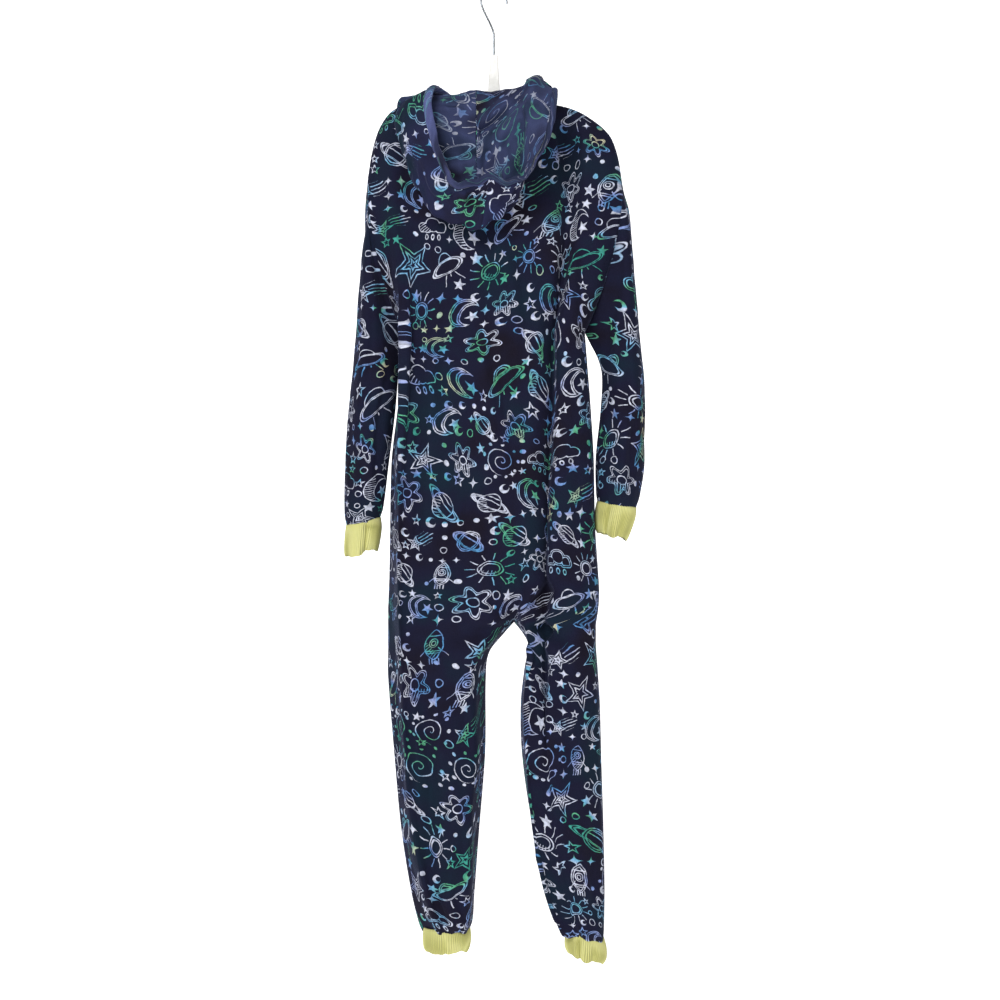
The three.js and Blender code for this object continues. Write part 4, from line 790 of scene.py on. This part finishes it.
def front_grids(side):
    last, reach = (10, 0.35) if side > 0 else (12, 0.3)
    sleeve, leg = (left_sleeve, left_leg) if side > 0 else (right_sleeve, right_leg)
    name = "left" if side > 0 else "right"
    places = np.linspace(0, last, last * 4 + 1)

    def opened(c, z):
        """The zip's opening, which ends in a short vent below the last tooth."""
        return side * 5 * max(c - last + 1, 0) * min(max((z + 842) / 42, 0), 1)

    low = [(x + opened(c, armpit_z), y, armpit_z) for c, (x, y) in zip(places, section(armpit[name], places))]
    rows = []
    for row in yoke_turns[:-1]:
        fall = (1 - math.cos(math.pi * row / 9)) / 2
        held = sleeve_point(sleeve, 0, 1 - row / 18)
        first = (front_top(side, 0), low[0])
        rows.append([
            yoke_point(front_top(side, c), p, held, *first, c / last, fall, reach)
            for c, p in zip(places, low)
        ])
    for z in torso_heights:
        rows.append([
            (x + opened(c, z), y, z) for c, (x, y) in zip(places, section(torso_section(z)[name], places))
        ])
    for t in leg_steps:
        at = row_at(leg, "t", t)
        ring = section(front_keys(at["outer_x"], at["inner_x"], last, at["front"], 1), places)
        rows.append([
            (x, y, mix(at["outer_z"], at["inner_z"], (x - at["outer_x"]) / (at["inner_x"] - at["outer_x"])))
            for x, y in ring
        ])
    grid = np.array(rows)
    fade = seam_fade(grid.shape[:2], ("top", "first", "last", "foot"), 6)
    moved = folded(grid, front_folds, fade, -1)
    return moved, flat_map(grid, len(places) - 1, corner=(0.0, 0.37))


front_points = {}
for side, node in ((1, "front_left"), (-1, "front_right")):
    grid, flat = front_grids(side)
    front_points[side] = grid
    if side < 0:
        grid, flat = grid[:, ::-1], flat[:, ::-1]
    front = panel(node + "_cloth", [(grid, flat)])
    finish_cloth(
        front, node, printed_fleece("printed fleece, " + node, navy, shift=(0.4 * side, 0.3)),
    )


# Sleeves
# The sleeves are set in low on dropped shoulders and hang straight down, flattened, with long soft
# folds from the armhole. The left one lies against the body, and the right one stands a little off.
sleeve_folds = columns(fold_names, [
    (176, -300, 168, -520, 9, -7, 0.3),
    (188, -370, 198, -650, 9, 6.5, -0.4),
    (158, -510, 172, -770, 8, -6, 0.3),
    (206, -540, 213, -780, 8, -5, 0.3),
    (184, -630, 190, -795, 7, 5.5, 0),
    (-178, -290, -183, -420, 9, 7, 0.5),
    (-183, -400, -172, -570, 9, -7, -0.3),
    (-204, -400, -206, -670, 9, 6, 0.4),
    (-172, -590, -170, -765, 8, -5.5, 0.2),
    (-192, -610, -187, -775, 8, 5.5, -0.3),
    (-215, -590, -204, -765, 6, -4.5, 0),
])
sleeve_turns = 0.5 + np.linspace(0, 1, 97)
for side, node, table in ((1, "sleeve_left", left_sleeve), (-1, "sleeve_right", right_sleeve)):
    grid = np.array([
        [sleeve_point(table, t, turn % 1) for turn in sleeve_turns] for t in np.linspace(0, 1, 101)])
    grid[:, -1] = grid[:, 0]
    fade = seam_fade(grid.shape[:2], ("top", "foot", "first", "last"), 6)
    height = fold_height(sleeve_folds, grid[..., 0], grid[..., 2])
    height = height + slack(grid, 34, 3.2) + slack(grid + 300, 15, 1.3)
    moved = grid - side * grid_normals(grid) * (height * fade)[..., None]
    flat = flat_map(grid, 48, corner=(0.9 * side, 0.1))
    sleeve = panel(node + "_cloth", [(moved, flat)], turned=side > 0)
    finish_cloth(
        sleeve, node, printed_fleece("printed fleece, " + node, navy, shift=(0.7 * side, 0.5)),
    )


# Cuffs
# Folded cuffs of lime-yellow rib knit, about 50 mm deep when new and gathered by their stretch, close
# each sleeve and leg. Their ribs run down the arm or leg at about 2.6 mm.
cuff_names = "at outer_x outer_z inner_x inner_z back front"
wrist_left_rows = columns(cuff_names, [
    (0, 219, -806, 172.5, -794, 24, 23), (1, 221, -822, 171, -809, 25, 24), (2, 222, -843, 174, -830, 25, 24),
    (3, 221, -854, 177, -841, 22, 21),
])
wrist_right_rows = columns(cuff_names, [
    (0, -211, -779, -157, -770, 25, 24), (1, -209, -795, -154, -786, 26, 25),
    (2, -201, -817, -154, -807, 25, 24),
    (3, -196, -826, -157, -816, 22, 21),
])
ankle_left_rows = columns(cuff_names, [
    (0, 103, -1408, 39, -1405, 28, 26), (1, 104, -1424, 37, -1421, 30, 28),
    (2, 103, -1437, 39, -1435, 29, 27),
    (3, 100, -1443, 43, -1442, 26, 24),
])
ankle_right_rows = columns(cuff_names, [
    (0, -162, -1424, -111, -1411, 27, 25), (1, -166, -1438, -109, -1423, 29, 27),
    (2, -166, -1452, -109, -1437, 28, 26),
    (3, -161, -1460, -113, -1446, 25, 23),
])


rib_pitch = 0.0026


def rib_knit():
    """Cotton rib knit: soft and matt, with painted shade: its ribs and loops are coloured light on their
    crests and darker and greener in the hollows between.
    """
    made, tree, shader = new_material("lime rib knit")
    uv = add(tree, "ShaderNodeUVMap", uv_map="cloth").outputs[0]
    split = add(tree, "ShaderNodeSeparateXYZ", {0: uv})
    rib = calc(tree, "COSINE", calc(tree, "MULTIPLY", split.outputs[0], math.tau / rib_pitch))
    bowed = calc(tree, "MULTIPLY", rib, 0.8)
    row = calc(tree, "MULTIPLY_ADD", split.outputs[1], math.pi / 0.0014, bowed)
    loops = calc(tree, "ABSOLUTE", calc(tree, "SINE", row))
    fibre = add(tree, "ShaderNodeTexNoise", {"Vector": uv, "Scale": 1400.0, "Detail": 3.0})
    fuzz = calc(tree, "MULTIPLY", fibre.outputs[0], 0.4)
    level = calc(tree, "MULTIPLY_ADD", rib, 0.3, calc(tree, "MULTIPLY_ADD", loops, 0.25, fuzz))
    # Painted shade: the rib and loop wave darkens the colour in the knit's hollows; the same wave also raises
    # the bump.
    tint = ramp(tree, level, [(0.0, "#a09e58"), (0.4, "#c3c176"), (0.85, "#d3d190")])
    raised = add(tree, "ShaderNodeBump", {"Height": level, "Strength": 0.6, "Distance": 0.0005})
    feed(tree, shader, {
        "Base Color": tint, "Normal": raised.outputs[0], "Roughness": 0.9,
        "Sheen Weight": 0.08, "Sheen Roughness": 0.5,
    })
    return made


lime = rib_knit()
for node, table, side, cleft in (
    ("wrist_cuff_left", wrist_left_rows, 1, 0.62),
    ("wrist_cuff_right", wrist_right_rows, -1, 0.7),
    ("ankle_cuff_left", ankle_left_rows, 1, 0.48),
    ("ankle_cuff_right", ankle_right_rows, -1, 0.66),
):
    around, ribs = 288, 72
    rows = []
    for at in np.linspace(0, 3, 19):
        row = row_at(table, "at", at)
        points = []
        for turn in np.linspace(0, 1, around + 1):
            swing, depth = math.cos(turn * math.tau), math.sin(turn * math.tau)
            half = (1 - swing) / 2
            dent = 4.5 * math.exp(-(((half - cleft) / 0.07) ** 2)) * min(at, 1) if depth > 0 else 0
            uneven = 1.4 * math.sin(half * 11 + side + cleft * 9) + 0.8 * math.sin(half * 23)
            dent += uneven * min(at / 2, 1)
            rib = 0.38 * math.cos(turn * math.tau * ribs)
            y = depth * (row["back"] if depth > 0 else row["front"]) - dent
            drop = (1.6 * math.sin(turn * math.tau * 3 + side) + dent * 0.8) * min(at / 3, 1)
            points.append((
                mix(row["outer_x"], row["inner_x"], half) + side * swing * rib, y + depth * rib,
                mix(row["outer_z"], row["inner_z"], half) + drop,
            ))
        rows.append(points)
    grid = np.array(rows)
    grid[:, -1] = grid[:, 0]
    flat = flat_map(grid, 0)
    flat[..., 0] *= ribs * rib_pitch / flat[:, -1:, 0].clip(0.001)
    cuff = panel(node + "_knit", [(grid, flat)], 0.0026, turned=side < 0)
    finish_cloth(cuff, node, lime)


# Hood
# Two halves meet in the centre seam. The hood is thrown back: it stands up round the neck, folds over
# and hangs behind as an open pouch, its right wall splayed out and its crown crumpled underneath.
hood_seam = columns("row x y z", [
    (1, 26, 42, -163), (2, 26, 56, -171), (3, 26, 64, -191), (4, 26, 67, -215), (5, 26, 68, -240),
    (6, 25.5, 68, -268), (7, 25, 69, -297), (8, 24, 71, -325), (9, 23, 75, -350), (10, 22, 82, -366),
])
hood_names = "row rim_x rim_y rim_z side_x side_y side_z bulge"
hood_left_rows = columns(hood_names, [
    (1, 27, -51, -197, 109, -2, -167, 2), (2, 64, -46, -168, 124, 16, -167, 3),
    (3, 88, -8, -156, 136, 34, -174, 4),
    (4, 98, 46, -162, 141, 46, -195, 9), (5, 101, 86, -197, 141, 54, -222, 12),
    (6, 92, 108, -240, 133, 60, -262, 13),
    (7, 79, 116, -280, 116, 66, -303, 13), (8, 62, 117, -311, 91, 74, -342, 13),
    (9, 36, 116, -316, 58, 86, -366, 9),
    (10, 8, 113, -309, 18, 98, -373, 4),
])
hood_right_rows = columns(hood_names, [
    (1, -27, -51, -199, -86, -4, -160, 2), (2, -64, -44, -168, -84, 14, -150, 2),
    (3, -84, -4, -157, -64, 32, -141, 2),
    (4, -86, 42, -161, -54, 46, -150, -2), (5, -84, 80, -190, -46, 60, -180, -4),
    (6, -80, 100, -222, -40, 70, -225, -4),
    (7, -68, 112, -260, -36, 76, -272, 0), (8, -50, 118, -297, -34, 84, -318, 6),
    (9, -26, 117, -310, -18, 94, -356, 6),
    (10, 8, 113, -309, 18, 98, -373, 4),
])
hood_folds = columns(fold_names, [
    (98, -228, 62, -326, 7, 6, 0.3),
    (118, -246, 82, -338, 6, -6, 0.2),
    (72, -296, 30, -350, 6, 8, 0.4),
    (52, -318, 16, -364, 5, -8, 0),
    (14, -326, -14, -362, 5, 7, -0.3),
    (-14, -296, -32, -344, 5, -6, 0.3),
    (-2, -338, 34, -366, 4, -5, 0),
    (66, -172, 54, -300, 9, -6, 0.3),
    (-60, -166, -42, -286, 8, 9, 0.3),
    (-52, -150, 34, -246, 10, -20, 0.4),
    (-66, -176, 10, -268, 8, 8, 0),
    (-22, -200, 14, -330, 9, 6, 0),
    (100, -176, 40, -205, 6, 7, 0),
    (112, -200, 78, -262, 6, -6, 0.2),
    (40, -330, 8, -352, 4, 6, 0),
    (-6, -316, 26, -340, 4, -6, 0),
    (76, -320, 50, -356, 5, 6, 0),
    (-30, -310, -8, -352, 5, 7, 0),
])


def hood_neck(side, c):
    """The neckline under the hood's edge, by hood column."""
    if side > 0:
        return Vector(front_top(1, 9 - c) if c <= 5 else top_edge(c - 1))
    return Vector(front_top(-1, 11 - c) if c <= 3 else top_edge(21 - c))


def hood_row(table, station, places):
    at = row_at(table, "row", station)
    rim, fold = Vector([at["rim_" + name] for name in "xyz"]), Vector([at["side_" + name] for name in "xyz"])
    limp = min(max((station - 6.5) / 1.5, 0), 1)
    rim.z += limp * (3 * math.sin(rim.x * 0.085 + 0.6) + 2 * math.sin(rim.x * 0.19 + 1))
    rim.y += limp * 4 * math.sin(rim.x * 0.12 + 2)
    seam = Vector([along(hood_seam, "row", name, station) for name in "xyz"])
    front = rim.lerp(fold, 0.5)
    front = front + (front - seam).normalized() * at["bulge"]
    rear = fold.lerp(seam, 0.5)
    rear.y = max(rear.y - 4, 54 if rear.z < -190 else 0)
    keys = columns("at x y z", [(0, *rim), (2.4, *front), (5, *fold), (8, *rear), (11, *seam)])
    return [Vector([along(keys, "at", name, c) for name in "xyz"]) for c in places]


def even_map(grid, corner):
    """A flat map with even rows and columns, each as wide as its mean on the piece, in metres."""
    across = np.linalg.norm(np.diff(grid, axis=1), axis=2).mean(axis=0)
    down = np.linalg.norm(np.diff(grid, axis=0), axis=2).mean(axis=1)
    u, v = np.concatenate([[0], np.cumsum(across)]), np.concatenate([[0], np.cumsum(down)])
    return np.stack(np.meshgrid(u, -v), axis=2) / 1000 + np.array(corner)


hood_places = np.linspace(0, 11, 67)
hood_stations = np.linspace(0, 10, 97)
hood_grids = {}
for side, table in ((1, hood_left_rows), (-1, hood_right_rows)):
    rows = []
    for station in hood_stations:
        points = hood_row(table, max(station, 1), hood_places)
        if station < 1:
            neck = [hood_neck(side, c) + Vector((0, 0, 0.4)) for c in hood_places]
            points = [low.lerp(high, station) for low, high in zip(neck, points)]
        rows.append([tuple(p) for p in points])
    hood_grids[side] = np.array(rows)
hood_inside = printed_fleece("printed fleece, worn side", "#363d5e", math.pi, (0.33, 0.07), strength=0.55)
shared_seam = hood_grids[1][:, -1].copy()
shared_crown = hood_grids[1][-1].copy()
for side, node in ((1, "hood_left"), (-1, "hood_right")):
    grid = hood_grids[side]
    grid[:, -1] = shared_seam
    grid[-1] = shared_crown
    fade = seam_fade(grid.shape[:2], ("top", "foot", "first", "last"), 5)
    crumple = slack(grid + 90, 22, 12) + slack(grid - 200, 10, 5)
    lowly = np.clip((-grid[..., 2] - 200) / 120, 0.25, 1)
    height = fold_height(hood_folds, grid[..., 0], grid[..., 2]) + crumple * lowly
    outward = -1 if side > 0 else 1
    grid = grid + outward * grid_normals(grid) * (height * fade)[..., None]
    hood_grids[side] = grid
    flat = even_map(grid, (1.7 * side, 0.2))
    hood = panel(node + "_cloth", [(grid, flat)], turned=side < 0)
    # Painted light: the hood's outside is the body's printed fleece with a lighter ground, #1d203c for
    # #13142a, for the light the hood catches.
    finish_cloth(
        hood, node, printed_fleece("printed fleece, " + node, "#1d203c", turn=math.pi, shift=(0.13, 0.21)),
    )
    hood.data.materials.append(hood_inside)
    outside = (len(hood_stations) - 1) * (len(hood_places) - 1)
    for face in hood.data.polygons[outside:2 * outside]:
        face.material_index = 1


# Hood hem
# The face opening is finished with a turned hem about 12 mm wide, stitched down on its inner side. It shows
# the cloth's paler wrong side, in slate blue, and ripples where the hood is crumpled; along its later part
# its print is darkened as painted shade.
rim = np.concatenate([hood_grids[1][:, 0], hood_grids[-1][-2::-1, 0]])
inner = np.concatenate([hood_grids[1][:, 2], hood_grids[-1][-2::-1, 2]])
run = np.gradient(rim, axis=0)
run /= np.linalg.norm(run, axis=1, keepdims=True)
away = rim - inner
away -= run * np.sum(away * run, axis=1, keepdims=True)
for _ in range(6):
    away[1:-1] = (away[:-2] + away[1:-1] * 2 + away[2:]) / 4
away /= np.linalg.norm(away, axis=1, keepdims=True)
across = np.cross(run, away)
ripple = np.array([noise.noise(Vector(p) / 14) for p in rim])[:, None]
narrow = 1 - 0.3 * np.clip((np.arange(len(rim)) - 70) / 30, 0, 1)[:, None]
hem_rows = []
for turn in np.linspace(0, 1, 21):
    wide, thick = math.cos(turn * math.tau), math.sin(turn * math.tau)
    pinch = 1 - 0.35 * math.exp(-(((wide + 0.62) / 0.16) ** 2))
    hem_rows.append(rim + away * (5.2 + 6 * wide) * narrow + across * (2.7 * thick * pinch + ripple * 2.4))
hem_grid = np.stack(hem_rows, axis=1)
hem_grid[:, -1] = hem_grid[:, 0]
hem_flat = flat_map(hem_grid, 0, corner=(3.1, 0.4))
hem_wall = 0.0008
hem_mesh = panel("hood_hem_cloth", [(hem_grid, hem_flat)], hem_wall, turned=True)
hem_fleece = printed_fleece("printed fleece, hood hem", "#5a6294", shift=(0.05, 0.1), strength=0.6)
hem_tree = hem_fleece.node_tree
hem_uv = add(hem_tree, "ShaderNodeUVMap", uv_map="cloth").outputs[0]
hem_place = add(hem_tree, "ShaderNodeSeparateXYZ", {0: hem_uv})
# Painted shade: the map named worn darkens the hem's print along the hem's length, from full colour to 0.42
# of it over its later part, for the shade of the folded, crumpled hood.
worn = add(hem_tree, "ShaderNodeMapRange", {0: hem_place.outputs[1], 1: -0.03, 2: -0.11, 3: 1.0, 4: 0.42})
hem_colour = hem_tree.nodes["Principled BSDF"].inputs["Base Color"]
hem_print = hem_colour.links[0].from_socket
hem_print_painted_shade = add(hem_tree, "ShaderNodeVectorMath", {0: hem_print, "Scale": worn.outputs[0]}, operation="SCALE")
hem_tree.links.new(hem_print_painted_shade.outputs[0], hem_colour)
finish_cloth(
    hem_mesh, "hood_hem", hem_fleece)


def copies(name, shape, faces, frames, material):
    """One small shape, copied to each frame: its middle and its three directions, in metres."""
    points = np.concatenate([middle + shape @ directions for middle, directions in frames])
    joined = [[k * len(shape) + corner for corner in face] for k in range(len(frames)) for face in faces]
    mesh = bpy.data.meshes.new(name)
    mesh.from_pydata(points.tolist(), [], joined)
    made = placed(name, mesh)
    for face in mesh.polygons:
        face.use_smooth = True
    mesh.materials.append(material)
    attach(made, "garment")
    return made


def modelled_once(primitive, stretch, bevel=0, **form):
    """The points and faces of one small shape, made and then taken away."""
    select_only()
    primitive(**form)
    made = bpy.context.active_object
    bpy.ops.object.mode_set(mode="EDIT")
    bpy.ops.mesh.select_all(action="SELECT")
    bpy.ops.transform.resize(value=stretch)
    if bevel:
        bpy.ops.mesh.bevel(offset=bevel, segments=1)
    bpy.ops.object.mode_set(mode="OBJECT")
    shape = np.array([tuple(vertex.co) for vertex in made.data.vertices])
    faces = [list(face.vertices) for face in made.data.polygons]
    bpy.data.objects.remove(made)
    return shape, faces


def frames_along(path, outward, pitch):
    """Even steps along a path in millimetres: each one's middle, run, side and outward directions."""
    lengths = np.concatenate([[0], np.cumsum(np.linalg.norm(np.diff(path, axis=0), axis=1))])
    runs = np.gradient(path, axis=0)
    found = []
    for at in np.arange(pitch, lengths[-1] - pitch, pitch):
        middle, run, out = (
            np.array([np.interp(at, lengths, field[:, k]) for k in range(3)])
            for field in (path, runs, outward))
        run = run / np.linalg.norm(run)
        side = np.cross(run, out)
        side = side / np.linalg.norm(side)
        found.append((middle / 1000, np.stack([side, np.cross(side, run), run])))
    return found


# One lockstitch: a slim bead of polyester thread, 2.6 mm long, pulled into the pile
stitch, stitch_faces = modelled_once(
    bpy.ops.mesh.primitive_uv_sphere_add, (0.0003, 0.0003, 0.0013), segments=6, ring_count=5, radius=1)
stitch_pitch = 3.6


def thread_material():
    """Spun polyester thread: navy, finely twisted, with a little more gloss than the fleece."""
    made, tree, shader = new_material("navy thread")
    where = add(tree, "ShaderNodeTexCoord").outputs["Object"]
    twist = add(tree, "ShaderNodeTexNoise", {"Vector": where, "Scale": 2400.0, "Detail": 2.0})
    tint = ramp(tree, twist.outputs[0], [(0.35, "#3c4270"), (0.65, "#666da0")])
    feed(tree, shader, {"Base Color": tint, "Roughness": 0.55})
    return made


thread = thread_material()
for name, face in (("outer", 1), ("inner", -1)):
    lane = rim + away * 1.5 * narrow + across * (face * 1.45 + ripple * 2.4)
    frames = frames_along(lane[6:-6], across[6:-6] * face, stitch_pitch)
    copies("hood_hem_stitches_" + name, stitch, stitch_faces, frames, thread)


# Zip
# A nylon coil zip joins the fronts from the neck to the belly: woven tapes behind the edges, a double
# row of fine teeth between them, and a plated slider whose tab hangs from its bridge.
def plain_material(name, base, dark, scale, roughness, metal=0.0, bump=0.0002):
    """One real material with fine grain: its colour and gloss are a little uneven, as moulding,
    weaving and plating leave them."""
    made, tree, shader = new_material(name)
    where = add(tree, "ShaderNodeTexCoord").outputs["Object"]
    grain = add(tree, "ShaderNodeTexNoise", {"Vector": where, "Scale": scale, "Detail": 4.0})
    tint = ramp(tree, grain.outputs[0], [(0.35, dark), (0.62, base)])
    gloss = add(tree, "ShaderNodeMapRange", {0: grain.outputs[0], 3: roughness * 0.8, 4: roughness * 1.2})
    raised = add(tree, "ShaderNodeBump", {"Height": grain.outputs[0], "Strength": 0.3, "Distance": bump})
    feed(tree, shader, {
        "Base Color": tint, "Roughness": gloss.outputs[0], "Normal": raised.outputs[0], "Metallic": metal,
    })
    return made


def dress(node, material):
    nodes[node].data.materials.clear()
    nodes[node].data.materials.append(material)


tape_weave = plain_material("woven zip tape", "#272a52", "#1a1c38", 900.0, 0.85)
plated = plain_material("plated zinc", "#a6abb2", "#8c9198", 300.0, 0.3, metal=1.0)
for node in ("zip_tape_left", "zip_tape_right"):
    dress(node, tape_weave)
for node in ("zip_slider", "zip_pull"):
    dress(node, plated)


# The teeth: moulded plastic blocks in two rows at 2.6 mm, set half a step apart so that they lock
tooth, tooth_faces = modelled_once(
    bpy.ops.mesh.primitive_cube_add, (0.0030, 0.0016, 0.0012), bevel=0.0003, size=1)
tooth_pitch = 2.6
moulded = plain_material("moulded zip teeth", "#2f3463", "#20244a", 500.0, 0.42)
slider_foot = min(vertex.co.z for vertex in nodes["zip_slider"].data.vertices) * 1000
zip_foot = min(vertex.co.z for vertex in nodes["zip_tape_left"].data.vertices) * 1000
left_edge, right_edge = front_points[1][:, -1], front_points[-1][:, -1]
closing = (left_edge + right_edge) / 2
shown = (closing[:, 2] < slider_foot - 1) & (closing[:, 2] > zip_foot + 2)
closing = closing[shown] + np.array([0, 2.2, 0])
facing = np.repeat([[0.0, -1.0, 0.0]], len(closing), axis=0)
for side, name in ((1, "left"), (-1, "right")):
    lane = closing + np.array([side * 1.1, 0, side * 0.65])
    frames = frames_along(lane, facing, tooth_pitch)
    copies("zip_teeth_" + name, tooth, tooth_faces, frames, moulded)
    beside = front_points[side][:, -3]
    out = -grid_normals(front_points[side])[:, -3]
    kept = (beside[:, 2] < slider_foot) & (beside[:, 2] > zip_foot - 6)
    frames = frames_along(beside[kept] + out[kept] * 0.15, out[kept], stitch_pitch)
    copies("zip_stitches_" + name, stitch, stitch_faces, frames, thread)


# Hanger
# A plain moulded hanger inside the shoulders carries the garment. Only its hook shows: 3 mm plated
# steel wire, straight out of the neck and bent over in one loop.
dress("hanger_body", plain_material("moulded hanger plastic", "#efeeea", "#e2e1dc", 120.0, 0.4))
wire = bpy.data.curves.new("hook_wire", "CURVE")
wire.dimensions = "3D"
wire.bevel_depth = 0.0015
wire.bevel_resolution = 6
wire.resolution_u = 16
wire.use_fill_caps = True
line = wire.splines.new("BEZIER")
hook_points = [
    ((0, -100.4), (0, -92), (0, -96)), ((0, -72), (0, -58), (0, -84)),
    ((19.5, -19.5), (19.5, -9), (19.5, -33)), ((0, 1.5), (-10.8, 1.5), (10.8, 1.5)),
    ((-19.2, -24.4), (-19.2, -24.5), (-19.9, -13)),
]
line.bezier_points.add(len(hook_points) - 1)
for point, (place, after, before) in zip(line.bezier_points, hook_points):
    point.co = (place[0] / 1000, 0, place[1] / 1000)
    point.handle_right = (after[0] / 1000, 0, after[1] / 1000)
    point.handle_left = (before[0] / 1000, 0, before[1] / 1000)
hook = placed("hook_wire", wire)
select_only(hook)
bpy.ops.object.convert(target="MESH")
bpy.ops.object.shade_smooth()
hook.data.materials.clear()
hook.data.materials.append(
    plain_material("plated steel wire", "#8f949a", "#6d7277", 160.0, 0.18, metal=1.0, bump=0.0001))
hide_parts("hanger_hook")
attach(hook, "garment")


# Studio
# The photograph is cut out on plain white, so the floor and the wall behind are one pale sweep, lit
# evenly, with a large soft light at the picture's upper left and a weaker one at its right.
def sweep_material():
    made, tree, shader = new_material("white paper sweep")
    where = add(tree, "ShaderNodeTexCoord").outputs["Object"]
    grain = add(tree, "ShaderNodeTexNoise", {"Vector": where, "Scale": 3.0})
    feed(tree, shader, {
        "Base Color": ramp(tree, grain.outputs[0], [(0.3, "#fbfbfb"), (0.7, "#ffffff")]), "Roughness": 1.0,
        "Specular IOR Level": 0.0, "Emission Color": (1, 1, 1, 1), "Emission Strength": 0.82,
    })
    return made


bend = [(-math.cos(k / 12 * math.pi / 2), 1 - math.sin(k / 12 * math.pi / 2)) for k in range(13)]
floor_z, bend_y = -1.75, -4.8
profile = [(-5.8, 2.6)] + [(bend_y + x, floor_z + z) for x, z in bend] + [(5.5, floor_z)]
sweep_mesh = bpy.data.meshes.new("sweep")
sweep_mesh.from_pydata(
    [(x, y, z) for y, z in profile for x in (-6, 6)], [],
    [(2 * k, 2 * k + 1, 2 * k + 3, 2 * k + 2) for k in range(len(profile) - 1)])
sweep = placed("sweep", sweep_mesh)
sweep.data.materials.append(sweep_material())
for face in sweep.data.polygons:
    face.use_smooth = True


def soft_light(name, place, aim, size, power):
    lamp = bpy.data.lights.new(name, "AREA")
    lamp.shape, lamp.size, lamp.energy = "SQUARE", size, power
    made = placed(name, lamp)
    made.location = place
    made.rotation_euler = (Vector(aim) - Vector(place)).to_track_quat("-Z", "Y").to_euler()


soft_light("key", (1.0, 2.9, 0.9), (0, 0, -0.6), 1.1, 78)
soft_light("fill", (-1.8, 2.8, -0.5), (0, 0, -0.8), 1.6, 14)
soft_light("top", (0.2, 0.6, 1.6), (0, 0, -0.6), 1.4, 10)
world = bpy.data.worlds.new("studio")
world.use_nodes = True
feed(world.node_tree, world.node_tree.nodes["Background"], {0: (1, 1, 1, 1), 1: 0.2})
bpy.context.scene.world = world
bpy.context.scene.view_settings.view_transform = "Standard"

camera_data = bpy.data.cameras.new("camera")
camera_data.sensor_width = 36
camera_data.lens = 72
camera = placed("camera", camera_data)
camera.location = (-0.009, 3.0, -0.768)
camera.rotation_euler = (math.pi / 2, 0, math.pi)
bpy.context.scene.camera = camera
